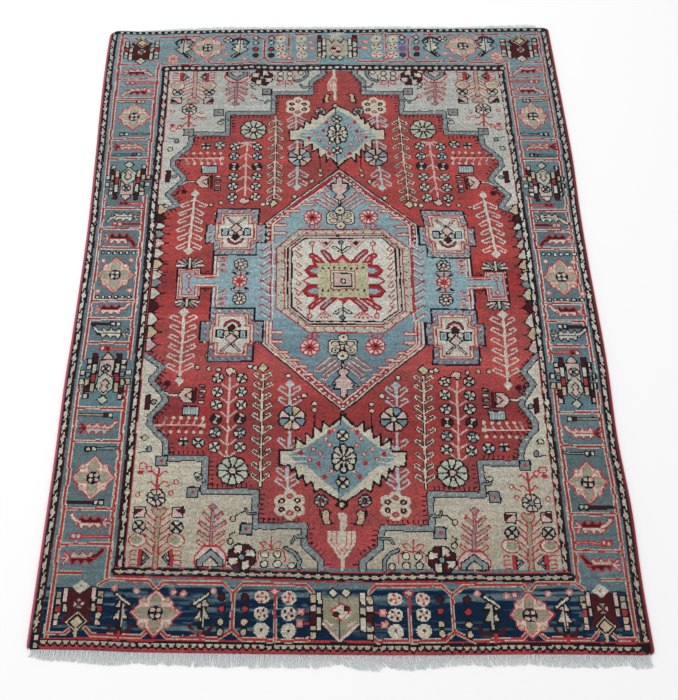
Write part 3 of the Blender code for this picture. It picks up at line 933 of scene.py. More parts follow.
def field_motifs(pen):
    far = pen.far
    ivory_fir(pen)
    tulip(pen)
    comb_rows(pen)
    rosette(pen, 363, 1482, 17, IVORY, SKY, PINK)
    pen.spot(325, 1478, 13, BLACK)
    for a, b, dye in ((-7, 6, IVORY), (6, -7, IVORY), (-5, -7, PINK), (7, 6, GREY)):
        pen.spot(325 + a, 1478 + b, 4.2, dye)
    rosette_tree(pen)
    comb_tree(pen)
    up = 13 if far else 0
    small_tree(pen, 590, 1312 + up, 1392 + up, (1349 + up, 1380 + up), SKY)
    petals(pen, 597, (1434 if far else 1410), 34, (BLUE, PINK, TAN, BLUE, PINK, BLUE, TAN, PINK), CREAM, inner=0.17)
    small_tree(pen, 590, 1450 + up, 1500, (1497,), SKY, diamond=False)
    small_tree(pen, 586, 1545, 1612, (1580, 1606), SKY, diamond=False)
    blossom(pen, 592, 1640 if far else 1646)
    petals(pen, 451, 1539 if far else 1557, 38, (SAGE,) * 10, PINK, inner=0.2, width=2.9)
    petals(pen, 656 if far else 668, 1619 if far else 1635, 16, (GREY, IVORY) * 4, LINE, inner=0.2, width=2.0)
    for x, y, dye in ((585, 1288, IVORY), (627, 1345, IVORY), (653, 1368, IVORY), (653, 1387, TAN), (378, 1266, TAN),
                      (406, 1268, PINK), (487, 1262, IVORY), (500, 1266, IVORY), (373, 1228, TAN), (350, 1262, TAN)):
        pen.nudge(1.5)
        pen.spot(x, y, 5.2, dye, edge=BLACK, rim=3.0)
    pen.nudge(0.0)
    pen.line([(653, 1392), (653, 1428)], 3.6, BLACK)
    pen.line([(627, 1352), (600, 1352)], 3.0, MAROON)
    pen.spot(273, 1310, 9, MAROON)
    pen.spot(273, 1310, 3.5, BLACK)
    for x, y in ((300, 1290), (258, 1310), (258, 1330), (250, 1410), (256, 1424), (260, 1446), (290, 1500), (302, 1508)):
        pen.spot(x, y, 3.4, BLACK)
    pen.line([(664, 1654), (664, 1672), (676, 1694)], 4.0, BLACK)
    pen.fill([(668, 1662), (680, 1656), (690, 1664), (686, 1676), (690, 1692), (700, 1694), (676, 1697), (670, 1684)],
             TAN, BLACK, 3.4)


for pen in QUARTERS:
    field_motifs(pen)

# %% [markdown]
# In the ivory spandrels stand an olive tree with slanting twigs, a blue and red fir on a
# house-like base, and flowers in black rings.

# %% Spandrel figures
def spandrel_figures(pen):
    far = pen.far
    # Olive tree
    pen.line([(277, 1662), (277, 1804)], 15.0, LINE)
    for y in (1695, 1712, 1729, 1746, 1763, 1780):
        for s in (-1, 1):
            pen.nudge(0.8)
            pen.line([(277, y), (277 + s * 30, y - 24)], 3.4, LINE)
            if y in (1712, 1746):
                pen.line([(277 + s * 4, y - 7), (277 + s * 26, y - 25)], 2.9, CREAM)
    pen.nudge(0.0)
    pen.line([(277, 1660), (277, 1804)], 8.5, OLIVE)
    pen.fill([(259, 1660), (266, 1653), (277, 1661), (288, 1653), (295, 1660), (290, 1672), (280, 1680), (274, 1680),
              (264, 1672)], OLIVE, LINE, 3.4)
    for s in (-1, 1):
        x = 277 + s * 46
        pen.fill([(x - 14, 1654), (x + 12, 1654), (x + 15, 1664), (x + 12, 1680), (x - 12, 1681), (x - 15, 1668)], PINK, BLACK)
        pen.fill([(x - 10 * s, 1657), (x + 13 * s, 1658), (x + 13 * s, 1677)], MAROON)
        rosette(pen, x, 1704, 17.5, SKY, TAN, MAROON)
        pen.spot(x, 1738, 19, CREAM, ry=15, edge=LINE, rim=3.4)
        pen.spot(x - 3, 1737, 14, OLIVE, ry=11)
        inner = 277 + s * 38
        pen.box(inner - 5, 1760, inner + 5, 1803, LINE)
        outer = inner + s * 8
        for y in (1764, 1776, 1788, 1799):
            pen.line([(outer, y), (outer + s * 13, y), (outer + s * 15, y + 5)], 3.2, LINE)
        pen.fill([(inner - 6 * s, 1764), (inner - 22 * s, 1781), (inner - 6 * s, 1800)], GREY, BLACK, 3.2)
        pen.fill([(inner - 6 * s, 1772), (inner - 15 * s, 1781), (inner - 6 * s, 1791)], PINK, BLACK, 2.9)
    # Red sprout and the flower over the olive tree
    petals(pen, 266, 1630, 22, (CREAM, PINK) * 4, GREY, inner=0.24, width=2.6)
    stem = 268
    pen.line([(stem, 1552), (stem, 1608)], 6.0, LINE)
    for y in (1566, 1594):
        for s in (-1, 1):
            pen.line([(stem, y + 10), (stem + s * 15, y - 8), (stem + s * 24, y - 4)], 4.0, LINE)
    for x, y, r in ((313, 1588, 7), (303, 1616, 6.5), (222, 1621, 7)):
        pen.spot(x, y, r - 3.0, CREAM, edge=LINE, rim=3.0)
    pen.line([(290, 1600), (306, 1592)], 2.9, LINE)
    pen.spot(228, 1545, 8, PINK, ry=7, edge=LINE, rim=3.0)
    pen.spot(225, 1562, 8, LINE, ry=6)
    pen.spot(244, 1552, 5, PINK, edge=LINE, rim=3.0)
    pen.spot(226, 1467, 6, STRAW, edge=BLACK, rim=3.2)
    pen.spot(240, 1499, 5, GREY, ry=7, edge=BLACK, rim=3.2)
    pen.line([(216, 1510), (232, 1506)], 3.0, BLACK)
    pen.nudge(1.0)
    pen.box(221, 1345, 233, 1386, MAROON, BLACK, 3.2)
    pen.spot(243, 1365, 5.5, GREY, edge=BLACK, rim=3.0)
    pen.nudge(0.0)
    # Blue and red fir on a pointed base
    for y in (1668, 1692, 1716, 1741):
        for s in (-1, 1):
            pen.nudge(0.8)
            reach = 30 if y > 1680 else 22
            pen.line([(407, y + 16), (407 + s * reach, y - 5), (407 + s * (reach + 3), y + 3), (407 + s * 4, y + 25)], 3.2, LINE)
            pen.line([(407 + s * 3, y + 17), (407 + s * (reach - 2), y + 1)], 3.6, GREY if y < 1730 else IVORY)
    pen.nudge(0.0)
    pen.line([(407, 1655), (407, 1750)], 10.0, LINE)
    pen.line([(407, 1653), (407, 1752)], 4.6, GREY)
    pen.fill([(396, 1652), (407, 1643), (418, 1652), (407, 1662)], GREY, LINE, 3.0)
    base = [(372, 1804), (369, 1778), (389, 1752), (425, 1752), (445, 1778), (442, 1804)]
    pen.fill(base, PINK, LINE, 4.0)
    pen.fill([(376, 1804), (376, 1786), (407, 1760), (438, 1786), (438, 1804)], GREY, BLACK, 3.4)
    pen.fill([(389, 1804), (389, 1795), (407, 1778), (425, 1795), (425, 1804)], IVORY, BLACK, 3.4)
    pen.line([(407, 1783), (407, 1804)], 5.0, PINK)
    pen.line([(395, 1752), (419, 1752)], 6.0, LINE)
    # Flowers towards the pole
    petals(pen, 480, 1778, 33, (MAROON, CREAM) * 4, GREY, inner=0.18)
    for k in range(4):
        px, py = pen.polar(480, 1778, 20, math.pi / 2 * k + math.pi / 8 + 0.4)
        paint_spot(px, py, 4.2, 4.2, PINK)
    pen.spot(455, 1683, 5, PINK, edge=LINE if far else BLACK, rim=3.0)
    pen.line([(460, 1678), (474, 1666), (486, 1664)], 3.4, BLACK)
    pen.spot(453, 1740, 5.5, IVORY, edge=BLACK, rim=3.2)
    pen.line([(452, 1730), (449, 1724), (462, 1716)], 3.4, BLACK)
    for x, y in ((535, 1771), (565, 1771), (535, 1795), (565, 1795)):
        pen.spot(x, y, 7.5, CREAM, edge=BLACK if not far else MAROON, rim=3.2)
        pen.spot(x, y, 2.6, PINK)
    pen.line([(517, 1790), (519, 1766), (532, 1756), (550, 1760), (568, 1756), (582, 1768), (582, 1790)], 3.0, LINE)
    pen.line([(550, 1756), (550, 1728)], 3.4, LINE)
    for s in (-1, 1):
        pen.line([(550, 1752), (550 + s * 16, 1738), (550 + s * 26, 1742), (550 + s * 18, 1752)], 3.2, LINE)
    hook = [(584, 1757), (604, 1768), (616, 1786), (616, 1806)]
    pen.line(hook, 12.0, BLACK)
    pen.line(hook, 6.0, GREY)
    pen.spot(599, 1800, 6.5, CREAM, edge=BLACK, rim=3.2)
    pen.spot(364, 1569, 7, IVORY, ry=4.5, edge=BLACK, rim=3.2)


def spandrel_row(y):
    """The far spandrels' figures stand further in than the near ones', most at their tips."""
    return float(np.interp(1975.0 - y, (-25, 165, 172, 198, 277, 308, 348, 368, 451, 640, 987),
                           (0, 188, 194, 218, 283, 314, 355, 371, 451, 648, 987)))


def spandrel_column(x):
    return float(np.interp(x, (0, 207, 277, 407, 481, 551, 590, 628, AXIS), (0, 207, 286, 416, 497, 569, 605, 648, AXIS)))


far_left_spandrel = Pen(lambda x, y: (spandrel_column(x), spandrel_row(y)), far=True)
far_right_spandrel = Pen(lambda x, y: (right_place(x, spandrel_row(y)), lower(x, spandrel_row(y))), right=True, far=True)
for pen in (near_left, near_right, far_left_spandrel, far_right_spandrel):
    spandrel_figures(pen)
print("field and spandrels drawn")

# %% [markdown]
# The great medallion is a long hexagon in blue, edged by a dark red band of ivory beads.
# Stepped boxes and a keyhole pendant stand at its sides.

# %% Hexagon medallion and its side panels
def quarter_shape(points):
    """A closed shape on all four quarters, from its line in the near left one."""
    for pen in QUARTERS:
        close = [(AXIS + 4, points[-1][1]), (AXIS + 4, 984), (points[0][0], 984)]
        yield pen, points + close


def stepped_line(points, width, dye):
    for pen in QUARTERS:
        pen.line(points, width, dye)


HEX = [(514, 984), (514, 1191), (727, 1393)]


def inset(points, distance):
    """The medallion's side line, moved in."""
    return [(points[0][0] + 0.7 * distance, 984), (points[1][0] + 0.7 * distance, points[1][1] - 0.1 * distance),
            (AXIS, points[2][1] - 0.85 * distance)]


def hexagon():
    for pen, shape in quarter_shape(HEX):
        pen.fill(shape, BLUE)
    for distance, width, dye in ((0, 4.4, BLACK), (7.5, 5.0, IVORY), (14.0, 3.4, LINE), (21.0, 5.0, CREAM), (27.5, 3.2, LINE),
                                 (33.5, 4.4, IVORY), (40.0, 3.2, LINE)):
        line = inset(HEX, distance)
        for pen in QUARTERS:
            pen.line([(line[0][0], 1118)] + line[1:], width, dye)
    low, high = inset(HEX, 17.5)[1:]
    for pen in QUARTERS:
        if pen.far:
            band = [(low[0], 1128), low, high]
        else:
            band = [(low[0] + 0.42 * (high[0] - low[0]), low[1] + 0.42 * (high[1] - low[1])), high]
        pen.line(band, 10.0, MAROON)
        pen.line(band, 7.0, LINE)
        for x, y in path_points(band, 15.0):
            pen.nudge(1.0)
            pen.spot(x, y, 3.7, IVORY)
        pen.nudge(0.0)


def side_combs(pen):
    """Cream fingers with red edges along the medallion's inner side."""
    for x0, x1, y, thick in ((543, 565, 1155, 13.5), (546, 567, 1184, 13.5), (563, 582, 1216, 11.5), (583, 611, 1238, 12.5),
                             (609, 632, 1259, 11.5), (628, 648, 1281, 11.0), (660, 676, 1311, 9.5)):
        if pen.far and y < 1190:
            x1 += 7
        pen.nudge(1.0)
        pen.line([(x0, y), (x1, y)], thick, LINE)
        pen.line([(x0 - 3, y), (x1, y)], thick - 6.4, CREAM)
    pen.nudge(0.0)


near_point = Pen(lambda x, y: (x, y))
far_point = Pen(lambda x, y: (x, 1970.0 - y), far=True)


def cluster(pen):
    """Black-ringed circles round a small heart, next to the octagon."""
    outline = [(690, 1184), (697, 1177), (760, 1177), (767, 1184), (767, 1214), (757, 1224), (700, 1224), (690, 1214)]
    pen.fill(outline, CREAM, BLACK, 3.6)
    for s in (-1, 1):
        for y in (1190, 1210):
            pen.spot(729 + s * 20, y, 9.5, CREAM, ry=5.5, edge=BLACK, rim=3.0)
            pen.spot(729 + s * 20, y, 3.2, MAROON if y > 1200 else TAN)
    pen.spot(729, 1172, 11.5, CREAM, edge=BLACK, rim=3.6)
    pen.spot(729, 1170, 3.6, MAROON)
    pen.spot(728, 1226, 12.5, CREAM, edge=BLACK, rim=3.6)
    pen.spot(728, 1227, 4.4, MAROON)
    pen.box(723, 1191, 733, 1209, PINK, BLACK)


def totem(pen):
    """A pink figure with black edges in each point of the hexagon."""
    half = [(0, 1262), (9, 1266), (16, 1274), (8, 1285), (24, 1302), (36, 1316), (22, 1314), (27, 1326), (9, 1326),
            (8, 1346), (0, 1356)]
    pen.line([(728, 1240), (728, 1264)], 10.0, BLACK)
    pen.line([(728, 1251), (728, 1264)], 3.4, PINK)
    pen.fill([(728 - a, b) for a, b in half] + [(728 + a, b) for a, b in half[::-1]], PINK, BLACK, 4.0)
    for s in (-1, 1):
        pen.line([(728 + s * 36, 1317), (728 + s * 22, 1307)], 7.0, BLACK)
        pen.line([(728 + s * 35, 1316), (728 + s * 22, 1307)], 2.9, GREY)


def double_bars(pen):
    """Slanting double lines on both sides of the pink figure."""
    bars = ([(-31, 1226), (-68, 1258), (-72, 1266), (-60, 1268), (-20, 1236)],
            [(-14, 1243), (-40, 1268), (-50, 1279)], [(-6, 1254), (-40, 1282), (-46, 1295), (-56, 1290)])
    for s in (-1, 1):
        for bar in bars:
            line = [(728 - s * a, b) for a, b in bar]
            pen.line([(x, y + 4.0) for x, y in line], 3.4, IVORY)
            pen.line(line, 3.6, LINE)


def medallion_flowers(pen, places):
    for x, y in places:
        pen.line([(x + 6, y - 42), (x + 6, y - 20)], 4.6, LINE)
        for s in (-1, 1):
            pen.line([(x + 6 + s * 4, y - 20), (x + 6 + s * 17, y - 32), (x + 6 + s * 10, y - 37)], 4.0, LINE)
        petals(pen, x, y, 25, (PINK, IVORY) * 5, LINE, LINE, inner=0.3, width=3.0)
        pen.spot(x, y, 5.0, MAROON)


def side_panel(pen):
    """The panel beside the medallion, with its combs and latch hooks."""
    pen.box(375, 984, 534, 1118, BLUE)
    pen.line([(375, 1006), (375, 1078)], 5.0, BLACK)
    pen.line([(381, 1006), (381, 1074)], 4.0, IVORY)
    pen.line([(386, 1006), (386, 1074)], 3.2, LINE)
    pen.line([(390, 1006), (390, 1074)], 3.4, IVORY)
    for y in (1022, 1044, 1064):
        pen.nudge(1.0)
        pen.line([(392, y + 7), (410, y + 7), (414, y), (408, y - 3), (400, y)], 5.6, LINE)
        pen.line([(392, y + 7), (410, y + 7), (414, y), (408, y - 3)], 2.9, PINK)
    pen.nudge(0.0)
    pen.line([(536, 984), (536, 1114)], 3.6, LINE)
    pen.line([(541, 984), (541, 1114)], 3.4, IVORY)
    for y in (994, 1020, 1046, 1072, 1098):
        pen.nudge(1.0)
        pen.line([(535, y + 10), (512, y - 8), (506, y - 2)], 3.4, LINE)
        pen.line([(535, y + 16), (514, y)], 2.9, IVORY)
    pen.nudge(0.0)
    petals(pen, 452, 1046, 18, (CREAM, PINK) * 4, IVORY, inner=0.25, width=2.4)
    pen.line([(452, 1004), (452, 1028)], 4.0, LINE)
    for s in (-1, 1):
        pen.line([(452, 1024), (452 + s * 16, 1024), (452 + s * 22, 1016), (452 + s * 14, 1010)], 7.0, BLACK)
        pen.line([(452, 1024), (452 + s * 16, 1024), (452 + s * 21, 1017)], 3.0, PINK)


def stepped(x, y, half, tall, arm, low, high):
    """The outline of a box with a short arm on each side."""
    right = [(x + half, y - tall), (x + half, y + low), (x + arm, y + low), (x + arm, y + high), (x + half, y + high),
             (x + half, y + tall)]
    return right + [(2 * x - a, b) for a, b in right[::-1]]


def stepped_box(pen):
    """A stepped box with ticked edge, two red lines and a small figure on ivory."""
    x, y = 434, 1161
    outline = stepped(x, y, 60, 84, 77 if pen.right else 84, -41, 25)
    pen.fill(outline, BLUE, BLACK, 5.0)
    ring = stepped(x, y, 52, 75, 66 if pen.right else 71, -37, 27)
    for index, (px, py) in enumerate(path_points(ring + ring[:1], 8.5)):
        if index % 2:
            pen.line([(px - 3, py - 4), (px + 3, py + 3)], 3.4, LINE)
        else:
            pen.spot(px, py, 2.4, IVORY if index % 4 else GREY)
    pen.fill(stepped(x, y, 44, 66, 58, -33, 31), CREAM, LINE, 3.3)
    pen.fill(stepped(x, y, 36, 59, 50, -27, 27), CREAM, LINE, 3.3)
    pen.fill(stepped(x, y, 30, 54, 44, -22, 23), IVORY)
    pen.line([(x - 20, y - 27), (x - 15, y - 38), (x, y - 45), (x + 15, y - 38), (x + 20, y - 27)], 9.0, BLACK)
    pen.line([(x - 20, y - 29), (x - 14, y - 38), (x, y - 44), (x + 14, y - 38), (x + 20, y - 29)], 4.4, LINE)
    pen.diamond(x, y - 21, 11, MAROON, 12, BLACK, 3.4)
    for s in (-1, 1):
        pen.box(x + s * 31 - 9, y - 14, x + s * 31 + 9, y + 10, SKY, BLACK, 4.0)
        pen.box(x + s * 31 - 4, y - 9, x + s * 31 + 4, y + 5, BLUE)
        pen.spot(x + s * 13, y - 5, 7.0, CREAM, edge=BLACK, rim=3.0)
        pen.line([(x + s * 2, y + 27), (x + s * 24, y + 50)], 8.5, BLACK)
        pen.line([(x + s * 4, y + 29), (x + s * 23, y + 49)], 3.6, PINK)
    pen.diamond(x, y + 12, 17, PINK, 17, BLACK, 3.4)


def pendant(pen):
    """The keyhole pendant outside the panel, open towards it, with a feathered crown at its end."""
    end = 1030 if pen.far else 1049
    for inner, dye, edge, width, mouth in ((0, CREAM, BLACK, 4.4, 1013), (6, PINK, LINE, 3.3, 1007),
                                           (14, BLUE, LINE, 3.3, 998)):
        left, right = 278 + inner, 342 - inner
        pen.fill([(left, 984), (right, 984), (right, end - inner), (left, end - inner)], dye)
        pen.line([(right, mouth), (right, end - inner), (left, end - inner), (left, 984)], width, edge)
    pen.fill([(320, 984), (392, 984), (392, 997), (320, 997)], BLUE)
    for y, dye, width in ((998.5, LINE, 3.3), (1003, CREAM, 4.4), (1007.5, LINE, 3.3)):
        pen.line([(328, y), (386, y)], width, dye)
    pen.line([(344, 1013), (372, 1013)], 4.0, BLACK)
    pen.line([(352, 1016), (358, 1022), (366, 1017)], 3.0, BLACK)
    pen.line([(311, 990), (311, end - 30)], 3.2, LINE)
    pen.diamond(311, end - 29, 7, PINK, 9, LINE, 3.2)
    low, high, half = (1033, 1068, 38) if pen.far else (1052, 1078, 31)
    for s in (-1, 1):
        for share, rise, dye in ((1.0, 0.25, IVORY), (0.86, 0.68, PINK), (0.5, 0.86, GREY)):
            feather = [(310, low + 3), (310 + s * half * share, low + (high - low) * rise)]
            pen.line(feather, 11.0, BLACK)
            pen.line(feather, 5.4, dye)
    pen.line([(310, low), (310, high - 4)], 12.0, BLACK)
    pen.line([(310, low), (310, high - 6)], 6.4, CREAM)


hexagon()
for pen in QUARTERS:
    side_panel(pen)
for pen in QUARTERS:
    stepped_box(pen)
    pendant(pen)
for pen in (near_left, near_right):
    petals(pen, 452, 987, 19, (CREAM,) * 8, LINE, LINE, inner=0.28, width=2.6)
for pen in QUARTERS:
    side_combs(pen)
for pen in (near_point, far_point):
    double_bars(pen)
    totem(pen)
    cluster(pen)
medallion_flowers(near_point, ((642, 1200), (814, 1198)))
medallion_flowers(far_point, ((649, 1200), (808, 1202)))

# %% [markdown]
# Inside the hexagon lies an octagon: a pale band with red marks, two thin black lines, and an
# ivory ground with red hooks and crimson lobes round a straw-coloured square. The weaver
# counted each side anew, so it is charted as a whole and isn't mirrored.

# %% Octagon
def octagon_ring(d):
    """The octagon's outline, moved in by d, less at its ends than at its sides."""
    return [(550.5 + d, 1078 - 0.08 * d), (640 + 0.05 * d, 1155.5 - 0.85 * d), (838 - 0.15 * d, 1155.5 - 0.82 * d),
            (920.5 - d, 1090 - 0.1 * d), (920.5 - d, 881), (850 - 0.1 * d, 812.5 + 0.74 * d),
            (612 + 0.4 * d, 812.5 + 0.74 * d), (550.5 + d, 878)]


def closed_ring(d):
    ring = octagon_ring(d)
    return ring + ring[:1]


def octagon_band():
    paint_fill(octagon_ring(0), SAGE)
    paint_line(closed_ring(0), 4.0, LINE)
    marks = 132
    places = {}
    for d in (6.0, 12.5, 19.0):
        ring = np.array(closed_ring(d))
        total = np.concatenate([[0.0], np.cumsum(np.hypot(*np.diff(ring, axis=0).T))])
        at = (np.arange(marks) + 0.5) / marks * total[-1]
        places[d] = list(zip(np.interp(at, total, ring[:, 0]), np.interp(at, total, ring[:, 1])))
    for index in range(marks):
        outer, middle, inner = (places[d][index] for d in (6.0, 12.5, 19.0))
        if index % 3 == 0:
            paint_line([middle, inner], 3.4, LINE)
        elif index % 3 == 1:
            paint_spot(*inner, 2.2, 2.2, IVORY)
            paint_spot(*outer, 2.6, 2.6, LINE if index % 2 else SALMON)
    paint_line(closed_ring(22.5), 3.6, LINE)
    paint_fill(octagon_ring(24.5), CREAM)
    paint_line(closed_ring(31.0), 4.6, BLACK)
    paint_line(closed_ring(36.5), 6.0, PINK)
    paint_fill(octagon_ring(41.0), IVORY)
    paint_line(closed_ring(42.0), 4.6, BLACK)


def hooks():
    """Red hooks that all slant towards the near end."""
    for tip in (876, 905, 938, 967, 999, 1031, 1060):
        dx, dy = random.uniform(-1.2, 1.2, 2)
        x, y = 600 + dx, tip + dy
        paint_line([(x, y - 19), (x + 20, y - 1), (x + 11, y + 6), (x + 6, y - 2)], 3.2, LINE)
        x, y = 874 + dx, tip + 8 + dy
        paint_line([(x, y - 22), (x - 19, y), (x - 11, y + 6), (x - 5, y - 2)], 3.2, LINE)
    paint_line([(604, 1068), (622, 1088)], 3.0, LINE)
    paint_line([(868, 1075), (848, 1095)], 3.0, LINE)


def crimson(points, dye, width=19.0, heart=4.0):
    """A thick crimson bar with a thin pale heart."""
    paint_line(points, width, LINE)
    paint_line(points, width - 6.0, MAROON)
    paint_line(points, width - 9.0, LINE)
    paint_line([points[0], points[1]] + [(0.5 * (points[1][0] + points[2][0]), 0.5 * (points[1][1] + points[2][1]))],
               heart, dye)


def side_lobe(edge_x, tip, middle, half, heart):
    """A pointed lobe beside the square: crimson, with a small pale or blue heart."""
    d = -1 if tip < edge_x else 1
    pale = heart == IVORY
    steps = ((0.0, half, LINE), (5.0, half - 5.0, IVORY)) if pale else (
        (0.0, half, LINE), (2.5, half - 3.0, MAROON), (4.0, half - 5.5, LINE), (13.0, half - 12.5, heart))
    for reach, rise, dye in steps:
        shoulder = tip - d * (17 + reach * 0.9)
        paint_fill([(edge_x - 4 * d, middle - rise), (shoulder, middle - rise), (tip - d * reach * 1.3, middle),
                    (shoulder, middle + rise), (edge_x - 4 * d, middle + rise)], dye)


def lobes():
    """Crimson lobes on all four sides of the square."""
    for points, dye in (([(649, 903), (663, 914), (676, 929)], PINK), ([(680, 891), (692, 906), (706, 929)], BLUE),
                        ([(795, 891), (780, 906), (762, 929)], BLUE), ([(819, 903), (806, 912), (794, 929)], PINK),
                        ([(646, 1073), (660, 1058), (678, 1044)], PINK), ([(678, 1076), (690, 1061), (708, 1046)], BLUE),
                        ([(790, 1080), (776, 1063), (758, 1046)], BLUE), ([(826, 1077), (806, 1062), (784, 1044)], PINK)):
        crimson(points, dye)
    for points in ([(672, 896), (689, 922)], [(803, 900), (785, 924)], [(695, 1047), (668, 1068)], [(772, 1047), (802, 1074)]):
        paint_line(points, 4.0, IVORY)
    paint_line([(653, 908), (657, 940)], 9.0, LINE)
    paint_line([(813, 908), (811, 942)], 9.0, LINE)
    paint_line([(655, 1066), (658, 1040)], 8.0, LINE)
    paint_line([(815, 1066), (806, 1040)], 8.0, LINE)
    paint_fill([(704, 929), (733, 897), (762, 929)], LINE)
    paint_fill([(720, 928), (733, 913), (745, 928)], PINK)
    paint_fill([(708, 1044), (758, 1044), (744, 1054), (736, 1066), (724, 1054)], LINE)
    for middle, tip_left, tip_right, half, heart in ((954, 625, 845, 21, BLUE), (1022, 619, 851, 21, BLUE),
                                                     (988, 621, 850, 14, IVORY)):
        side_lobe(667, tip_left, middle, half, heart)
        side_lobe(798, tip_right, middle, half, heart)


def heart_square():
    paint_fill([(664, 929), (801, 929), (801, 1043), (664, 1043)], STRAW)
    for row, xs in ((946, (678, 695, 708, 722, 738, 755, 771, 788)), (1020, (676, 691, 706, 721, 741, 757, 772, 790))):
        for x in xs:
            paint_spot(x, row + random.uniform(-1, 1), 3.6, 3.8, MAROON)
    for x, y in ((672, 957), (686, 959), (676, 978), (690, 984), (778, 984), (790, 978), (776, 960), (680, 937), (700, 937),
                 (722, 936), (748, 937), (772, 938), (792, 937), (674, 1034), (700, 1033), (726, 1034), (750, 1033),
                 (774, 1034), (792, 1032), (684, 1004), (784, 1003)):
        paint_spot(x, y, 2.9, 2.9, GREY)
    paint_fill([(698, 953), (767, 953), (767, 1018), (698, 1018)], LINE)
    paint_fill([(701, 956), (764, 956), (764, 1015), (701, 1015)], CREAM)
    paint_fill([(705, 962), (758, 962), (758, 1010), (705, 1010)], BLACK)
    paint_fill([(709, 966), (754, 966), (754, 1006), (709, 1006)], PINK)
    paint_spot(733, 990, 7.5, 10, BLACK)
    paint_spot(733, 990, 3.4, 5.5, IVORY)


def small_plants():
    """A black plant with a blue bud at each end, and small red flowers beside it."""
    for root, bud, fork, tip in ((1062, 1109, 1077, 1092), (903, 857, 895, 878)):
        d = 1 if tip > fork else -1
        paint_line([(732, root), (731, bud)], 3.2, BLACK)
        for s in (-1, 1):
            paint_line([(731, fork), (731 + s * 24, tip), (731 + s * 26, tip + 5 * d), (731 + s * 16, tip + 6 * d),
                        (731, fork + 7 * d)], 3.0, BLACK)
        paint_spot(729, bud, 8.0, 8.0, BLACK)
        paint_spot(729, bud, 4.6, 4.6, STEEL)
    for x, y, foot in ((641, 1102, 1078), (821, 1102, 1082), (649, 862, 896), (818, 863, 898)):
        paint_line([(x, y), (x, foot)], 3.4, LINE)
        paint_spot(x, y, 8.0, 9.0, LINE)
        paint_spot(x, y, 4.6, 5.6, CREAM)
    for x, wide in ((681, 20), (784, 24)):
        paint_line([(x - wide, 1107), (x, 1087), (x + wide, 1107)], 3.0, LINE)
        for k in (-1, 0, 1):
            paint_line([(x, 1090), (x + k * wide * 0.45, 1109)], 3.0, SALMON)
            paint_spot(x + k * wide * 0.45, 1108, 3.0, 3.0, LINE)
    for x, r in ((689, 6.5), (771, 9.0)):
        paint_line([(x - 21, 851), (x, 881), (x + 22, 851)], 3.2, SALMON)
        paint_line([(x - 13, 851), (x, 870), (x + 13, 851)], 2.6, LINE)
        paint_fill([(x - r, 860), (x, 860 - r), (x + r, 860), (x, 860 + r)], MAROON)


octagon_band()
hooks()
lobes()
heart_square()
small_plants()

# %% [markdown]
# At both poles of the medallion lies a blue diamond with a deeply toothed ivory edge, and
# beyond it a white lily on a stem.

# %% Pole diamonds and lilies
POLE_TEETH = [(731, 1398), (706, 1424), (690, 1434), (673, 1417), (671, 1447), (652, 1431), (648, 1466), (630, 1452),
              (630, 1486), (605, 1464), (606, 1501), (566, 1499), (566, 1541), (592, 1541), (598, 1558), (606, 1546),
              (612, 1580), (624, 1566), (630, 1596), (644, 1584), (652, 1612), (668, 1602), (690, 1620), (731, 1648)]


def pole_diamond(pen):
    pen.fill(POLE_TEETH + [(731, 1648)], CREAM, BLACK, 5.0)
    for x, y in ((700, 1424),):
        pen.line([(x, y), (731, 1400)], 5.0, BLACK)
    blue = [(731, 1414), (700, 1440), (668, 1462), (640, 1486), (606, 1506), (590, 1513), (604, 1528), (640, 1548),
            (668, 1576), (700, 1606), (731, 1630)]
    pen.fill(blue, BLUE)
    for k in range(9):
        y = 1488 + 7 * k
        pen.line([(596 + 3 * abs(k - 4), y), (628 + 2 * abs(k - 4), y)], 3.2, BLUE if k % 2 else CREAM)
    for x, y, dye in ((622, 1508, LINE), (640, 1524, PINK), (650, 1498, IVORY), (664, 1534, LINE), (668, 1508, IVORY),
                      (690, 1486, IVORY), (680, 1468, IVORY), (694, 1556, IVORY), (676, 1572, LINE), (690, 1448, LINE),
                      (702, 1442, PINK)):
        pen.nudge(2.0)
        pen.spot(x, y, 3.4, dye, ry=4.4, edge=LINE, rim=2.6)
    pen.nudge(0.0)


def star_flower():
    """A long flower head of ten petals between two rosettes, in each pole diamond."""
    for pen in (near_left, far_left):
        x, y = pen.to([(725, 1523)])[0]
        for grow, dye in ((3.4, BLACK), (0.0, CREAM)):
            for k in range(10):
                angle = 2 * math.pi * (k + 0.5) / 10
                reach = 19.0 + 11.0 * abs(math.sin(angle))
                px, py = x + reach * math.cos(angle), y + reach * math.sin(angle)
                if dye == CREAM:
                    paint_line([(x, y), (px, py)], 12.0, BLACK)
                paint_spot(px, py, 5.8 + 1.5 * grow, 6.8 + 1.5 * grow, dye)
                if dye == CREAM:
                    paint_line([(x + 7 * math.cos(angle), y + 7 * math.sin(angle)), (px, py)], 5.0, CREAM)
        paint_spot(x, y, 7.0, 8.0, BLACK)
        paint_spot(x, y, 4.0, 4.6, CREAM)
        rosette(pen, 723, 1461, 17, IVORY, CREAM, MAROON)
        rosette(pen, 722, 1586, 17, IVORY, TAN if pen.far else CREAM, MAROON)


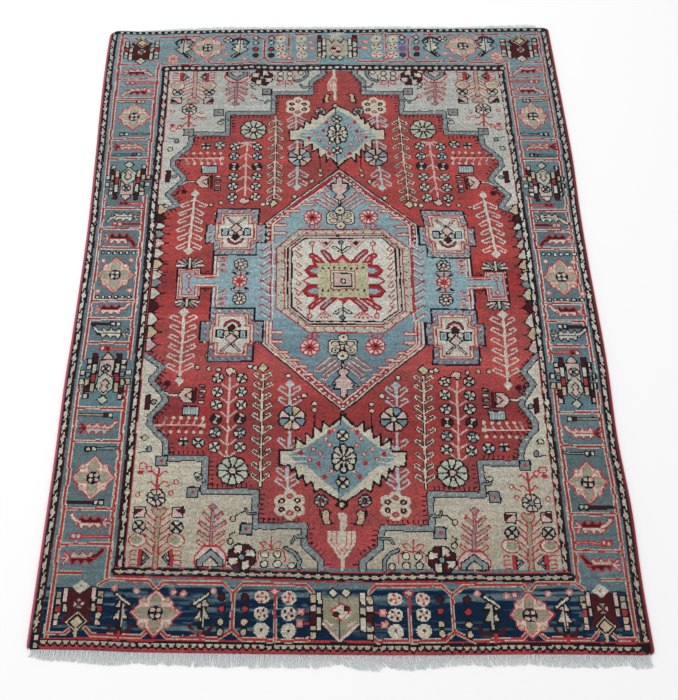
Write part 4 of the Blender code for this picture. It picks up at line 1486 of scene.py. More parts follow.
def lily(pen):
    """The lily on the red lobe at each end of the field."""
    pen.fill([(706, 1668), (718, 1663), (731, 1668), (731, 1700), (724, 1712), (712, 1704)], CREAM, RED, 3.0)
    pen.line([(716, 1704), (716, 1712)], 9.0, IVORY)
    cup = [(683, 1712), (750, 1712), (750, 1738), (734, 1766), (716, 1788), (699, 1766), (683, 1742)]
    pen.fill(cup, CREAM)
    for s in (-1, 1):
        pen.line([(716 + s * 12, 1714), (716 + s * 12, 1742), (716, 1764)], 3.2, SALMON)
        pen.line([(716 + s * 24, 1714), (716 + s * 24, 1740), (716, 1778)], 3.2, SALMON)
    pen.line([(716, 1770), (716, 1806)], 8.0, CREAM)
    pen.diamond(718, 1645, 15, MAROON, 13, BLACK, 3.0)
    pen.spot(718, 1645, 6.0, IVORY)


for pen in QUARTERS:
    pole_diamond(pen)
star_flower()
for pen in (near_left, far_left):
    lily(pen)

# %% [markdown]
# The end borders hold the same kind of figures in a red cartouche line: the corner crab,
# animals that look like firs, cross rosettes, six small rosettes and a crab in the middle.

# %% End borders
END_COLUMNS = {
    "near_left": ((0, 207, 706), (0, 207, 706)),
    "near_right": ((0, 16, 26, 46, 60, 109, 207, 287, 392, 464, 592, 648, 661, 706),
                   (1402, 1384, 1375.5, 1365, 1352, 1305, 1218, 1140, 1057, 966, 835, 777, 762, 709)),
    "far_left": ((0, 165, 181, 207, 234, 287, 392, 464, 560, 632, 648, 661, 706),
                 (0, 165, 215, 241, 268, 319, 426, 500, 576, 665, 672, 688, 727)),
    "far_right": ((0, 16, 26, 46, 60, 109, 207, 287, 392, 464, 560, 592, 632, 648, 661, 706),
                  (1402, 1384, 1375.5, 1365, 1354, 1307, 1199, 1128, 1022, 957, 885, 857, 800, 788, 772, 727)),
}


def end_pen(name):
    columns = END_COLUMNS[name]
    far = name.startswith("far")

    def place(x, y):
        row = far_row(y) if far else y
        return float(np.interp(x, *columns)), row

    return Pen(place, right=name.endswith("right"), far=far)


ENDS = {name: end_pen(name) for name in END_COLUMNS}


def cartouche_lines(pen):
    lines = ([(45, 1963), (84, 1963), (98, 1950)], [(130, 1950), (146, 1966), (258, 1966), (272, 1952)],
             [(300, 1952), (316, 1967), (430, 1970), (464, 1950), (464, 1866), (440, 1843), (300, 1840), (290, 1852)],
             [(280, 1852), (266, 1837), (172, 1835), (150, 1850)], [(464, 1950), (488, 1970), (632, 1971), (646, 1962)],
             [(464, 1866), (486, 1843), (632, 1845), (648, 1862)])
    for line in lines:
        pen.line(line, 10.0, IVORY)
    for line in lines:
        pen.line(line, 5.2, LINE)


def corner_crab(pen):
    x = 109
    body = [(x - 27, 1858), (x + 27, 1858), (x + 25, 1916), (x + 36, 1934), (x + 26, 1942), (x, 1922), (x - 26, 1942),
            (x - 36, 1934), (x - 25, 1916)]
    pen.fill(body, MAROON)
    pen.diamond(x, 1853, 18, CREAM, 15, BLACK if pen.far else CREAM, 3.2)
    pen.spot(x, 1853, 3.2, GREY)
    for s in (-1, 1):
        for y, dye, r in ((1872, OLIVE, 8), (1888, IVORY, 8), (1905, LINE, 8), (1922, TAN, 8), (1938, PINK, 7)):
            px = x + s * 48
            pen.box(px - 7, y - r, px + 7, y + r, dye, BLACK, 3.4)
        px = x + s * 33
        pen.box(px - 6, 1856, px + 6, 1890, PINK, BLACK, 3.4)
        pen.box(px - 6, 1893, px + 6, 1914, IVORY, BLACK, 3.4)
    rosette(pen, x, 1894, 15, GREY, TAN, LINE, ring=MAROON)
    pen.diamond(x, 1936, 27, TAN, 26, BLACK, 3.0)
    pen.diamond(x, 1936, 18, TAN, 17, BLACK, 5.0)
    pen.line([(x, 1955), (x, 1968)], 8.0, TAN)


def animal(pen, x, flip):
    """A pale figure like a fir, with a leaning chequered head and a dark arc at its foot."""
    d = -1.0 if flip else 1.0
    pen.nudge(1.0)
    shape_left = [(x - 3, 1876), (x - 16, 1903), (x - 4, 1903), (x - 19, 1930), (x - 6, 1928), (x - 6, 1950), (x, 1950), (x, 1876)]
    shape_right = [(x + 3, 1870), (x + 20, 1900), (x + 7, 1900), (x + 20, 1930), (x + 7, 1928), (x + 7, 1950), (x, 1950), (x, 1876)]
    pen.fill(shape_left, PINK, BLACK, 4.4)
    pen.fill(shape_right, IVORY, BLACK, 4.4)
    pen.line([(x, 1876), (x, 1952)], 3.8, BLACK)
    pen.line([(x - 16 * d, 1868), (x + 20 * d, 1896)], 12.0, BLACK)
    pen.line([(x - 13 * d, 1870), (x + 18 * d, 1893)], 5.0, CREAM)
    pen.line([(x - 27, 1942), (x - 20, 1954), (x, 1960), (x + 20, 1954), (x + 27, 1942)], 8.0, MAROON)
    pen.line([(x, 1958), (x, 1974)], 7.0, LINE)
    pen.nudge(0.0)


def running_animal(pen, x, flip):
    """The far border's version: two pale halves with barbs, on running legs, under a dark arc."""
    d = -1.0 if flip else 1.0

    def at(points):
        return [(x + d * a, 2000.0 - 1.037 * b) for a, b in points]

    pen.line(at([(-26, 60), (-16, 49), (2, 42), (20, 49), (30, 60)]), 9.0, BLACK)
    pen.line(at([(-14, 50), (2, 43), (18, 50)]), 3.4, MAROON)
    left = [(-8, 49), (-9, 69), (-26, 66), (-13, 83), (-26, 92), (-8, 107), (15, 129), (21, 122), (2, 104), (2, 50)]
    right = [(7, 49), (9, 68), (27, 69), (14, 82), (27, 90), (8, 104), (27, 124), (19, 130), (0, 108), (0, 50)]
    for shape in (left, right):
        pen.fill(at(shape), IVORY if shape is left else CREAM, BLACK, 4.2)
    pen.line(at([(0, 48), (0, 104), (19, 124)]), 3.8, BLACK)
    pen.line(at([(2, 27), (2, 44)]), 6.0, LINE)


def middle_crab(pen):
    far = pen.far
    shield = [(668, 1874), (706, 1872), (712, 1872), (712, 1976), (706, 1976), (668, 1936)]
    pen.fill(shield, OLIVE)
    pen.line([(668, 1872), (668, 1936), (706, 1976)], 4.0, BLACK)
    pen.line([(671, 1936), (706, 1973)], 5.4, PINK)
    pen.line([(675, 1928), (690, 1940)], 5.0, PINK)
    pen.diamond(694, 1863, 11, CREAM, 12, BLACK, 3.6)
    if far:
        pen.line([(682, 1948), (690, 1930), (700, 1944)], 4.0, BLACK)
    for y0, y1, dye in ((1868, 1888, TAN), (1891, 1908, PINK), (1910, 1938, MAROON if not far else IVORY),
                        (1940, 1952, LINE if far else TAN), (1954, 1968, IVORY if not far else MAROON)):
        pen.box(641, y0, 655, y1, dye, BLACK, 3.4)
    for y0, y1, dye in ((1862, 1892, CREAM), (1896, 1915, IVORY), (1918, 1952, CREAM)):
        pen.box(656, y0, 668, y1, dye, BLACK, 3.4)


def end_border(name):
    pen = ENDS[name]
    far = pen.far
    cartouche_lines(pen)
    side_cross(pen, 287, 1912, 58, 55)
    corner_crab(pen)
    if far:
        running_animal(pen, 209, False)
        running_animal(pen, 388, True)
        rosette(pen, 349, 1948, 15, CREAM, PINK, IVORY)
        petals(pen, 180, 1863, 18, (PINK, CREAM) * 3, SALMON, SALMON, inner=0.2, width=2.4)
        spots = ((238, 1950, SALMON), (240, 1857, LINE), (328, 1857, SALMON), (346, 1880, SALMON), (404, 1861, SALMON))
    else:
        animal(pen, 207, False)
        animal(pen, 392, True)
        spots = ((189, 1857, SALMON), (241, 1861, SALMON), (326, 1865, LINE), (349, 1868, SALMON), (418, 1862, SALMON))
    for x, y, dye in spots:
        pen.spot(x, y, 4.6, PINK, edge=dye, rim=3.4)
    for x, shades in ((437, ((1876, MAROON), (1904, LINE), (1934, TAN), (1956, IVORY))),
                      (491, ((1876, MAROON), (1904, LINE), (1934, TAN), (1956, IVORY)))):
        for y, dye in shades:
            if far and dye == TAN:
                dye = IVORY
            pen.spot(x, y, 6.2, dye, ry=7.0, edge=BLACK, rim=3.8)
    for x in (530, 593):
        for row, y in enumerate((1876, 1913, 1950)):
            pen.nudge(1.2)
            pen.spot(x, y, 17.5, CREAM, ry=15.5)
            for k in range(4):
                if row == 2:
                    break
                px, py = pen.polar(x, y, 9.5, math.pi / 2 * k + (0.6 if row else 0.2))
                paint_spot(px, py, 3.4, 3.8, MAROON if row else LINE)
            pen.spot(x, y, 3.6, MAROON if row == 2 else SALMON)
            for s in (-1, 1):
                pen.spot(x + 18 * s, y, 2.4, BLUE)
    pen.nudge(0.0)
    pen.line([(561, 1972), (560, 1866)], 8.5, IVORY)
    pen.line([(561, 1972), (560, 1866)], 4.4, LINE)
    pen.diamond(560, 1862, 12, PINK, 9, LINE, 4.0)
    for x, y in ((620, 1908), (617, 1935)):
        pen.box(x - 6, y - 6, x + 6, y + 6, PINK, SALMON, 3.6)
        pen.line([(x + 7, y), (640, y)], 3.4, LINE)
    middle_crab(pen)
    if far:
        pen.fill([(672, 1980), (712, 1980), (712, 1965), (690, 1965)], IVORY)


for name in ENDS:
    end_border(name)
for x in (706,):
    paint_fill([(x - 19, 1905), (x + 6, 1888), (x + 28, 1902), (x + 24, 1920), (x + 6, 1928), (x - 14, 1920)], CREAM)
    paint_line([(x - 19, 1905), (x + 6, 1888), (x + 28, 1902), (x + 6, 1928), (x - 19, 1905)], 3.4, LINE)
    paint_spot(x - 6, 1914, 8, 8, MAROON)
    paint_spot(x + 18, 1900, 8, 7, MAROON)
paint_spot(727, 97, 19, 17, LINE)
paint_spot(727, 97, 16, 14, PINK)
paint_spot(719, 92, 9, 6, MAROON)
paint_spot(734, 104, 8, 5, MAROON)
print("end borders drawn")

# %% [markdown]
# Abrash is the drift of a dye from one batch of yarn to the next. Here it shows in the blue,
# pale at the far end and navy at the near one, and in the red, which darkens towards the
# near end in rows. The same row tables also hold painted sheen of the nap, whose colour
# changes row by row as light falls on the pile, lighter towards the far end and darker
# towards the near one. Worn knots show a little paler, and painted glints lie in pale rows
# on the near border.

# %% Colour of every knot
def linear(colour):
    value = np.asarray(colour, float) / 255.0
    return np.where(value <= 0.04045, value / 12.92, ((value + 0.055) / 1.055) ** 2.4)


# Colours row by row: partly abrash and partly painted sheen of the nap, lighter towards the far end and darker towards
# the near one
BLUE_ROWS = ((0, (110, 132, 138)), (190, (106, 128, 133)), (430, (98, 117, 121)), (560, (92, 116, 122)),
             (720, (84, 102, 106)), (900, (88, 108, 114)), (1350, (87, 111, 118)), (1590, (80, 96, 98)),
             (1790, (88, 108, 113)), (1850, (84, 102, 106)))
MEDALLION_ROWS = ((350, (116, 140, 146)), (700, (116, 142, 148)), (900, (128, 153, 158)), (1040, (126, 151, 158)),
                  (1130, (104, 130, 138)), (1350, (90, 114, 124)), (1450, (104, 127, 133)), (1620, (106, 130, 135)))
RED_ROWS = ((0, (140, 66, 64)), (350, (140, 64, 62)), (560, (148, 66, 63)), (750, (150, 62, 60)), (880, (156, 66, 63)),
            (980, (132, 49, 49)), (1100, (150, 64, 63)), (1250, (158, 74, 73)), (1380, (130, 52, 51)),
            (1640, (146, 67, 66)), (1750, (149, 66, 68)), (1990, (146, 56, 62)))
IVORY_ROWS = ((0, (150, 156, 152)), (190, (158, 160, 154)), (450, (160, 162, 155)), (900, (184, 184, 174)),
              (1100, (180, 178, 168)), (1500, (170, 166, 150)), (1700, (160, 154, 138)), (1810, (152, 146, 129)),
              (2000, (158, 150, 132)))
NAVY = (8, 32, 54)
LILAC = (112, 106, 150)


def row_colours(rows, at):
    places = [row[0] for row in rows]
    return np.stack([np.interp(at, places, [row[1][k] for row in rows]) for k in range(3)], axis=-1)


def knot_colours():
    at = knot_y
    colours = np.array([DYES[name] for name in NAMES], float)[chart]
    blue, red = chart == BLUE, chart == RED
    # The row tables give each row its colour: abrash and painted sheen together
    colours[blue] = row_colours(BLUE_ROWS, at)[blue]
    colours[red] = row_colours(RED_ROWS, at)[red]
    pale = chart == IVORY
    colours[pale] = row_colours(IVORY_ROWS, at)[pale]
    inside = blue & (knot_x > 215) & (knot_x < 1225) & (knot_y > 200) & (knot_y < 1800)
    colours[inside] = row_colours(MEDALLION_ROWS, at)[inside]
    # In the near border the blue turns navy in rows, with pale rows between the dark ones: partly abrash, where navy
    # yarn ran out now and then, and partly painted glints where the pile lies over
    dark = np.interp(at, (1846, 1856, 1866, 1876, 1886, 1898, 1910, 1935, 1946, 1956, 1975),
                     (0.1, 0.8, 0.35, 0.45, 0.95, 0.6, 1.05, 0.95, 0.6, 1.0, 1.1))
    dark = dark + 0.5 * smooth_noise(chart.shape, (2.4, 34), 21) + 0.25 * smooth_noise(chart.shape, (1.5, 9), 22)
    dark = np.clip((dark - 0.3) * 2.4, 0.0, 1.0) * (at > 1846)
    mixed = (1.0 - dark)[..., None] * colours + dark[..., None] * np.array(NAVY, float)
    colours[blue] = mixed[blue]
    streak = smooth_noise(chart.shape, (2.2, 60), 11) + 0.6 * smooth_noise(chart.shape, (1.3, 22), 12)
    slow = smooth_noise(chart.shape, (26, 70), 13)
    knot = np.random.default_rng(14).normal(0.0, 1.0, chart.shape)
    light = 1.0 + 0.05 * streak + 0.035 * slow + 0.085 * knot
    cloud = (smooth_noise(chart.shape, (17, 24), 15) + 0.5 * smooth_noise(chart.shape, (6, 9), 16)
             + 0.5 * smooth_noise(chart.shape, (1.6, 3.0), 23))
    light[red] += 0.1 * cloud[red]
    light[inside] += 0.05 * cloud[inside]
    colours *= light[..., None]
    # Where the red is worn its knots are paler, and where it is thick they are deeper
    deep = np.clip(cloud, -1.0, 1.0)[..., None] * np.array((0.0, -5.0, -5.0))
    colours[red] += deep[red]
    # A pale lilac stain on the far border
    stain = np.exp(-((knot_x - 926) / 17.0) ** 2 - ((knot_y - 93) / 30.0) ** 2)
    stain = np.clip(1.5 * stain + 0.35 * smooth_noise(chart.shape, (4, 4), 17) - 0.3, 0.0, 0.62)[..., None]
    colours = (1.0 - stain) * colours + stain * np.array(LILAC, float)
    # The olive knots turn darker and browner towards the near end
    brown = np.clip((at - 1200.0) / 700.0, 0.0, 1.0)[..., None] * np.array((0.12, 0.15, 0.19))
    colours[chart == OLIVE] *= (1.0 - brown)[chart == OLIVE]
    # Pale grey-blue patches on the near border: partly scuffed knots, paler than the rest, and partly painted glints
    # where the pile lies over
    scuff_and_glint = smooth_noise(chart.shape, (3, 7), 18) + 0.6 * smooth_noise(chart.shape, (20, 30), 19)
    edge = np.clip((at - 1780.0) / 60.0, 0.0, 1.0) * np.clip((1975.0 - at) / 20.0, 0.0, 1.0)
    scuff_and_glint = np.clip((scuff_and_glint - 0.75) * 1.6, 0.0, 0.4)[..., None] * edge[..., None]
    colours = (1.0 - scuff_and_glint) * colours + scuff_and_glint * np.array((150.0, 160.0, 160.0))
    return colours


colours = knot_colours()
print("mean colour", colours.reshape(-1, 3).mean(axis=0).round())

# %% [markdown]
# The pile is tied in five bands across the rug, each a grid with one face for each knot. The
# bands meet without a gap, and their outer rows turn down to the floor at the rug's rim.

# %% Pile
BANDS = 5
RIM_STEPS = ((0.0, 0.0010), (0.0, 0.0064))


def finish_mesh(name, bm, material=None):
    mesh = bpy.data.meshes.new(name)
    bm.to_mesh(mesh)
    bm.free()
    piece = bpy.data.objects.new(name, mesh)
    scene.collection.objects.link(piece)
    if material is not None:
        mesh.materials.append(material)
    return piece


def shares(count, first_skirt, last_skirt):
    """Shares of the sheet for a row of grid lines, with a doubled line where it turns down."""
    lines = list(np.linspace(0.0, 1.0, count + 1))
    return ([0.0] if first_skirt else []) + lines + ([1.0] if last_skirt else [])


ACROSS = np.array(shares(COLUMNS, True, True))
row_cuts = [round(ROWS * k / BANDS) for k in range(BANDS + 1)]


def make_band(index, material):
    """One band of the pile. Band 0 is the nearest."""
    top, bottom = ROWS - row_cuts[index + 1], ROWS - row_cuts[index]
    near_skirt, far_skirt = index == 0, index == BANDS - 1
    lines = list(1.0 - np.arange(bottom, top - 1, -1) / ROWS)
    along = np.array(([0.0] if near_skirt else []) + lines + ([1.0] if far_skirt else []))
    bm = bmesh.new()
    bmesh.ops.create_grid(bm, x_segments=len(ACROSS) - 1, y_segments=len(along) - 1, size=1.0)
    piece = finish_mesh(f"pile_{index + 1}", bm, material)
    mesh = piece.data
    flat = np.zeros(len(mesh.vertices) * 3)
    mesh.vertices.foreach_get("co", flat)
    flat = flat.reshape(-1, 3)
    column = np.rint((flat[:, 0] + 1.0) / 2.0 * (len(ACROSS) - 1)).astype(int)
    row = np.rint((flat[:, 1] + 1.0) / 2.0 * (len(along) - 1)).astype(int)
    u, v = ACROSS[column], along[row]
    x, y = cloth_points(u, v)
    edge = np.minimum(np.minimum(u, 1.0 - u) * 1.38, np.minimum(v, 1.0 - v) * 1.99)
    drop = 0.0026 * np.clip(1.0 - edge / 0.004, 0.0, 1.0) ** 1.6
    lift = np.random.default_rng(40 + index).normal(0.0, 0.00013, len(u))
    seam = ((row == 0) & (index > 0)) | ((row == len(along) - 1) & (index < BANDS - 1))
    lift[seam] = 0.0
    z = pile_top(x, y) - drop + lift
    last_column, last_row = len(ACROSS) - 1, len(along) - 1
    skirt = (column == 0) | (column == last_column)
    skirt |= (row == 0) & near_skirt
    skirt |= (row == last_row) & far_skirt
    z[skirt] = 0.0006
    mesh.vertices.foreach_set("co", np.stack([x, y, z], axis=1).ravel())
    centres = np.zeros(len(mesh.polygons) * 3)
    starts = np.zeros(len(mesh.polygons), int)
    mesh.polygons.foreach_get("loop_start", starts)
    corner_vertices = np.zeros(len(mesh.loops), int)
    mesh.loops.foreach_get("vertex_index", corner_vertices)
    first = corner_vertices[starts[:, None] + np.arange(4)]
    face_column = np.clip(column[first].min(axis=1) - 1, 0, COLUMNS - 1)
    face_row = row[first].min(axis=1) - (1 if near_skirt else 0)
    chart_row = np.clip(bottom - 1 - face_row, top, bottom - 1)
    shade = linear(np.clip(colours[chart_row, face_column], 0, 255))
    attribute = mesh.attributes.new("knot_colour", "FLOAT_COLOR", "FACE")
    attribute.data.foreach_set("color", np.concatenate([shade, np.ones((len(shade), 1))], axis=1).ravel())
    layer = mesh.uv_layers.new(name="OFBake")
    span = (along[0], along[-1])
    uv = np.stack([0.002 + 0.996 * u[corner_vertices],
                   0.002 + 0.996 * (v[corner_vertices] - span[0]) / (span[1] - span[0])], axis=1)
    layer.data.foreach_set("uv", uv.ravel())
    mesh.shade_smooth()
    mesh.update()
    return piece


def wool_material(name):
    """Clipped wool pile: each knot's own colour, a finer grain of yarn ends, and a soft nap."""
    material = bpy.data.materials.new(name)
    material.use_nodes = True
    nodes, links = material.node_tree.nodes, material.node_tree.links
    shader = nodes["Principled BSDF"]
    shader.inputs["Roughness"].default_value = 0.95
    shader.inputs["Specular IOR Level"].default_value = 0.1
    shader.inputs["Sheen Weight"].default_value = 0.14
    shader.inputs["Sheen Roughness"].default_value = 0.4
    knot = nodes.new("ShaderNodeAttribute")
    knot.attribute_name = "knot_colour"
    place = nodes.new("ShaderNodeTexCoord")
    grain = nodes.new("ShaderNodeTexNoise")
    grain.inputs["Scale"].default_value = 900.0
    grain.inputs["Detail"].default_value = 3.0
    links.new(place.outputs["Object"], grain.inputs["Vector"])
    spread = nodes.new("ShaderNodeMapRange")
    spread.inputs["From Min"].default_value = 0.3
    spread.inputs["From Max"].default_value = 0.7
    spread.inputs["To Min"].default_value = 0.82
    spread.inputs["To Max"].default_value = 1.2
    links.new(grain.outputs["Fac"], spread.inputs["Value"])
    tint = nodes.new("ShaderNodeVectorMath")
    tint.operation = "SCALE"
    links.new(knot.outputs["Color"], tint.inputs[0])
    links.new(spread.outputs["Result"], tint.inputs["Scale"])
    links.new(tint.outputs["Vector"], shader.inputs["Base Color"])
    bump = nodes.new("ShaderNodeBump")
    bump.inputs["Strength"].default_value = 0.5
    bump.inputs["Distance"].default_value = 0.0008
    links.new(grain.outputs["Fac"], bump.inputs["Height"])
    links.new(bump.outputs["Normal"], shader.inputs["Normal"])
    return material


pile_wool = wool_material("clipped_wool")
bands = [make_band(index, pile_wool) for index in range(BANDS)]
for index, band in enumerate(bands):
    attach(band, "root")
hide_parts("rug")
print("pile faces", sum(len(band.data.polygons) for band in bands))

# %% [markdown]
# On its back the same knots show as small flat loops between the wefts, so the pattern reads
# there as well, flat and on a real rug a little stronger in colour; here it has the same colours
# and less sheen. One coarser grid stands for it.

# %% Underside
BACK_STEP = 3


def back_material():
    """Flat knot loops in rows: the knots' colour with fine ridges one way."""
    material = wool_material("knotted_back")
    nodes, links = material.node_tree.nodes, material.node_tree.links
    place = nodes["Texture Coordinate"]
    ridges = nodes.new("ShaderNodeTexWave")
    ridges.bands_direction = "Y"
    ridges.inputs["Scale"].default_value = 0.3183 * math.pi / 0.0029
    ridges.inputs["Distortion"].default_value = 0.6
    links.new(place.outputs["Object"], ridges.inputs["Vector"])
    bump = nodes["Bump"]
    bump.inputs["Strength"].default_value = 0.7
    links.new(ridges.outputs["Fac"], bump.inputs["Height"])
    nodes["Principled BSDF"].inputs["Sheen Weight"].default_value = 0.05
    return material


def make_back(material):
    wide, long = COLUMNS // BACK_STEP, ROWS // BACK_STEP
    bm = bmesh.new()
    bmesh.ops.create_grid(bm, x_segments=wide, y_segments=long, size=1.0)
    bmesh.ops.reverse_faces(bm, faces=bm.faces)
    piece = finish_mesh("knotted_back", bm, material)
    mesh = piece.data
    flat = np.zeros(len(mesh.vertices) * 3)
    mesh.vertices.foreach_get("co", flat)
    flat = flat.reshape(-1, 3)
    across, along = (flat[:, 0] + 1.0) / 2.0, (flat[:, 1] + 1.0) / 2.0
    x, y = cloth_points(across, along)
    mesh.vertices.foreach_set("co", np.stack([x, y, np.full(len(x), 0.0006)], axis=1).ravel())
    starts = np.zeros(len(mesh.polygons), int)
    mesh.polygons.foreach_get("loop_start", starts)
    corners = np.zeros(len(mesh.loops), int)
    mesh.loops.foreach_get("vertex_index", corners)
    first = corners[starts[:, None] + np.arange(4)]
    middle_across, middle_along = across[first].mean(axis=1), along[first].mean(axis=1)
    column = np.clip((middle_across * COLUMNS).astype(int), 0, COLUMNS - 1)
    row = np.clip(((1.0 - middle_along) * ROWS).astype(int), 0, ROWS - 1)
    shade = linear(np.clip(colours[row, column], 0, 255))
    attribute = mesh.attributes.new("knot_colour", "FLOAT_COLOR", "FACE")
    attribute.data.foreach_set("color", np.concatenate([shade, np.ones((len(shade), 1))], axis=1).ravel())
    layer = mesh.uv_layers.new(name="OFBake")
    uv = np.stack([0.002 + 0.996 * across[corners], 0.002 + 0.996 * along[corners]], axis=1)
    layer.data.foreach_set("uv", uv.ravel())
    mesh.update()
    return piece


back = make_back(back_material())
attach(back, "root")
print("back faces", len(back.data.polygons))

# %% [markdown]
# The long sides are overcast: wool yarn is wrapped round the outer warps, turn beside turn,
# until it makes a round cord. The left one is a faded pink red and the right one a dark red.

# %% Overcast edges
TURN = 0.0031
EDGE_HEIGHT = 0.0068


def edge_material(name, colour, pale):
    material = bpy.data.materials.new(name)
    material.use_nodes = True
    nodes, links = material.node_tree.nodes, material.node_tree.links
    shader = nodes["Principled BSDF"]
    shader.inputs["Roughness"].default_value = 0.9
    shader.inputs["Specular IOR Level"].default_value = 0.15
    shader.inputs["Sheen Weight"].default_value = 0.2
    place = nodes.new("ShaderNodeTexCoord")
    grain = nodes.new("ShaderNodeTexNoise")
    grain.inputs["Scale"].default_value = 260.0
    grain.inputs["Detail"].default_value = 4.0
    links.new(place.outputs["Object"], grain.inputs["Vector"])
    mix = nodes.new("ShaderNodeMix")
    mix.data_type = "RGBA"
    mix.inputs[6].default_value = (*linear(colour), 1.0)
    mix.inputs[7].default_value = (*linear(pale), 1.0)
    links.new(grain.outputs["Fac"], mix.inputs["Factor"])
    links.new(mix.outputs[2], shader.inputs["Base Color"])
    bump = nodes.new("ShaderNodeBump")
    bump.inputs["Strength"].default_value = 0.4
    bump.inputs["Distance"].default_value = 0.0005
    links.new(grain.outputs["Fac"], bump.inputs["Height"])
    links.new(bump.outputs["Normal"], shader.inputs["Normal"])
    return material


def make_selvedge(name, side, material):
    """Wrapped turns of yarn along one side: a row of rings drawn out from the first one."""
    rows = LEFT_SIDE if side == "left" else RIGHT_SIDE
    sign = 1.0 if side == "left" else -1.0
    low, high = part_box("selvedge_" + side)
    start, end = low.y - CENTRE_SHIFT[1] + 0.002, high.y - CENTRE_SHIFT[1] - 0.002
    if side == "left":
        start, end = start + 0.001, end - 0.001
    turns = int((end - start) / TURN)
    section = ((0.02, 0.05), (0.0, 0.30), (0.03, 0.62), (0.22, 0.90), (0.50, 1.0), (0.78, 0.88), (0.97, 0.55),
               (0.95, 0.10))
    bm = bmesh.new()
    ring = None
    for step in range(2 * turns + 1):
        y = start + (end - start) * step / (2 * turns)
        swell = 1.0 if step % 2 else 0.86
        edge = float(smooth_table(rows, y))
        near, far = CORNERS["near", side][1], CORNERS["far", side][1]
        inset = float(rounded(y - near, CORNER_RADII["near_" + side]) + rounded(far - y, CORNER_RADII["far_" + side]))
        taper = min(1.0, 0.4 + min(step, 2 * turns - step) * 0.15)
        places = []
        for out, up in section:
            across = 0.5 + (out - 0.5) * swell * taper
            x = edge + sign * (inset + SELVEDGE_WIDTH * across)
            lean = 0.0016 * (out - 0.5)
            places.append((x + CENTRE_SHIFT[0], y + CENTRE_SHIFT[1] + lean, EDGE_HEIGHT * up * swell * taper + 0.0001))
        if ring is None:
            ring = [bm.verts.new(place) for place in places]
            bm.faces.new(ring if side == "left" else ring[::-1])
            edges = [bm.edges.get((a, b)) for a, b in zip(ring, ring[1:] + ring[:1])]
            continue
        grown = bmesh.ops.extrude_edge_only(bm, edges=edges)["geom"]
        fresh = [item for item in grown if isinstance(item, bmesh.types.BMVert)]
        edges = [item for item in grown if isinstance(item, bmesh.types.BMEdge)]
        edges = [edge for edge in edges if edge.verts[0] in fresh and edge.verts[1] in fresh]
        for vert, place in zip(fresh, places):
            vert.co = place
    bmesh.ops.holes_fill(bm, edges=edges, sides=12)
    bmesh.ops.recalc_face_normals(bm, faces=bm.faces)
    piece = finish_mesh(name, bm, material)
    piece.data.shade_smooth()
    return piece


left_wool = edge_material("pink_red_yarn", (166, 62, 84), (192, 100, 118))
right_wool = edge_material("dark_red_yarn", (120, 26, 38), (158, 50, 62))
left_cord = make_selvedge("overcast_left", "left", left_wool)
right_cord = make_selvedge("overcast_right", "right", right_wool)
for piece, node in ((left_cord, "selvedge_left"), (right_cord, "selvedge_right")):
    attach(piece, "root")
    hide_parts(node)
print("edge faces", len(left_cord.data.polygons), len(right_cord.data.polygons))

# %% [markdown]
# The fringe is the cotton warp itself, cut short: two or three threads twisted into a
# thin strand, hundreds of them side by side. They lean together in tufts.

# %% Fringe
NEAR_FRINGE = ((-0.690, 0.017, -0.007), (-0.640, 0.023, -0.003), (-0.560, 0.028, 0.000), (-0.520, 0.032, 0.000),
               (-0.460, 0.025, 0.000), (-0.360, 0.027, -0.001), (-0.250, 0.030, 0.002), (-0.220, 0.024, -0.003),
               (-0.190, 0.031, -0.003), (-0.130, 0.029, 0.007), (-0.060, 0.029, 0.010), (-0.010, 0.021, 0.012),
               (0.020, 0.031, 0.013), (0.072, 0.034, 0.015), (0.084, 0.025, 0.016), (0.110, 0.030, 0.013),
               (0.160, 0.032, 0.004), (0.200, 0.028, 0.003), (0.292, 0.021, 0.007), (0.320, 0.026, 0.008),
               (0.430, 0.022, 0.003), (0.460, 0.027, 0.004), (0.590, 0.028, 0.007), (0.638, 0.022, 0.006),
               (0.655, 0.030, 0.006), (0.690, 0.027, 0.008))
FAR_FRINGE = ((-0.670, 0.008, -0.001), (-0.600, 0.014, 0.000), (-0.460, 0.018, 0.002), (-0.360, 0.021, 0.001),
              (-0.260, 0.019, -0.002), (-0.060, 0.020, 0.002), (0.040, 0.018, 0.003), (0.240, 0.019, 0.000),
              (0.300, 0.014, -0.002), (0.340, 0.018, -0.002), (0.400, 0.013, 0.001), (0.500, 0.018, 0.002),
              (0.640, 0.020, -0.001), (0.680, 0.017, -0.001))


def cotton_material():
    material = bpy.data.materials.new("undyed_cotton")
    material.use_nodes = True
    nodes, links = material.node_tree.nodes, material.node_tree.links
    shader = nodes["Principled BSDF"]
    shader.inputs["Roughness"].default_value = 0.9
    shader.inputs["Specular IOR Level"].default_value = 0.15
    place = nodes.new("ShaderNodeTexCoord")
    grain = nodes.new("ShaderNodeTexNoise")
    grain.inputs["Scale"].default_value = 500.0
    links.new(place.outputs["Object"], grain.inputs["Vector"])
    ramp = nodes.new("ShaderNodeValToRGB")
    ramp.color_ramp.elements[0].color = (*linear((178, 186, 192)), 1.0)
    ramp.color_ramp.elements[1].color = (*linear((240, 242, 240)), 1.0)
    ramp.color_ramp.elements[0].position = 0.3
    ramp.color_ramp.elements[1].position = 0.7
    links.new(grain.outputs["Fac"], ramp.inputs["Fac"])
    links.new(ramp.outputs["Color"], shader.inputs["Base Color"])
    return material


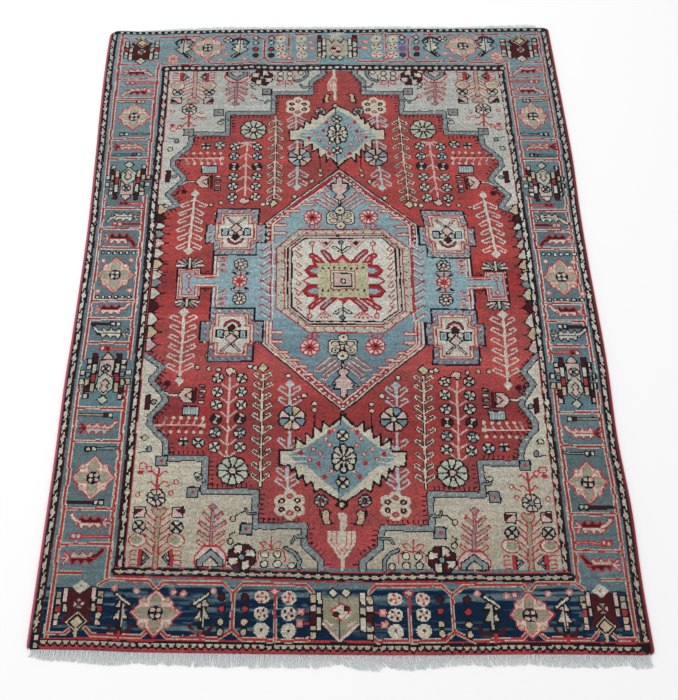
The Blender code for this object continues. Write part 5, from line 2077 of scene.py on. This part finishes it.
def add_strand(bm, line, radii, sides=5):
    """A thin strand: a ring of points drawn out along a line and closed at its tip."""
    edges = None
    for (x, y, z), radius in zip(line, radii):
        places = []
        for k in range(sides):
            angle = 2.0 * math.pi * k / sides
            places.append((x + radius * math.cos(angle), y, z + radius * math.sin(angle)))
        if edges is None:
            made = [bm.verts.new(place) for place in places]
            bm.faces.new(made)
            edges = [bm.edges.get((a, b)) for a, b in zip(made, made[1:] + made[:1])]
            continue
        grown = bmesh.ops.extrude_edge_only(bm, edges=edges)["geom"]
        fresh = [item for item in grown if isinstance(item, bmesh.types.BMVert)]
        edges = [item for item in grown if isinstance(item, bmesh.types.BMEdge)
                 and item.verts[0] in fresh and item.verts[1] in fresh]
        for vert, place in zip(fresh, places):
            vert.co = place
    bmesh.ops.holes_fill(bm, edges=edges, sides=8)


def make_fringe(name, end, table, count, material):
    rng = np.random.default_rng(70 if end == "near" else 71)
    places, lengths, leans = np.array(table).T
    low, high = CORNERS[end, "left"][0], CORNERS[end, "right"][0]
    sign = -1.0 if end == "near" else 1.0
    margin = 0.006 if end == "near" else 0.03
    bm = bmesh.new()
    for index in range(count):
        x = low + margin + (high - low - 2 * margin) * (index + 0.5) / count
        tuft = math.floor(index / 3.2)
        tuft_rng = np.random.default_rng(1000 + tuft + (500 if end == "near" else 0))
        length = float(np.interp(x, places, lengths)) + tuft_rng.uniform(-0.0016, 0.0016) + rng.uniform(-0.001, 0.001)
        lean = float(np.interp(x, places, leans)) + tuft_rng.uniform(-0.0022, 0.0022) + rng.uniform(-0.001, 0.001)
        root = float(smooth_table(NEAR_END if end == "near" else FAR_END, x))
        root += -sign * float(rounded(x - low, CORNER_RADII[end + "_left"]) + rounded(high - x, CORNER_RADII[end + "_right"]))
        line, radii = [], []
        curl = rng.uniform(-0.0008, 0.0008)
        for step in range(6):
            share = step / 5.0
            height = 0.0042 * (1 - share) ** 1.5 + 0.0013 + 0.0004 * rng.uniform(0, 1)
            line.append((x + CENTRE_SHIFT[0] + lean * share ** 1.4 + curl * math.sin(4.0 * share),
                         root + CENTRE_SHIFT[1] + sign * (length * share - 0.001), height))
            radii.append(0.00115 * (1.0 - 0.35 * share))
        add_strand(bm, line, radii)
    bmesh.ops.recalc_face_normals(bm, faces=bm.faces)
    piece = finish_mesh(name, bm, material)
    piece.data.shade_smooth()
    return piece


cotton = cotton_material()
near_strands = make_fringe("strands_near", "near", NEAR_FRINGE, 520, cotton)
far_strands = make_fringe("strands_far", "far", FAR_FRINGE, 420, cotton)
for piece, node in ((near_strands, "fringe_near"), (far_strands, "fringe_far")):
    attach(piece, "root")
    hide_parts(node)
print("fringe faces", len(near_strands.data.polygons), len(far_strands.data.polygons))
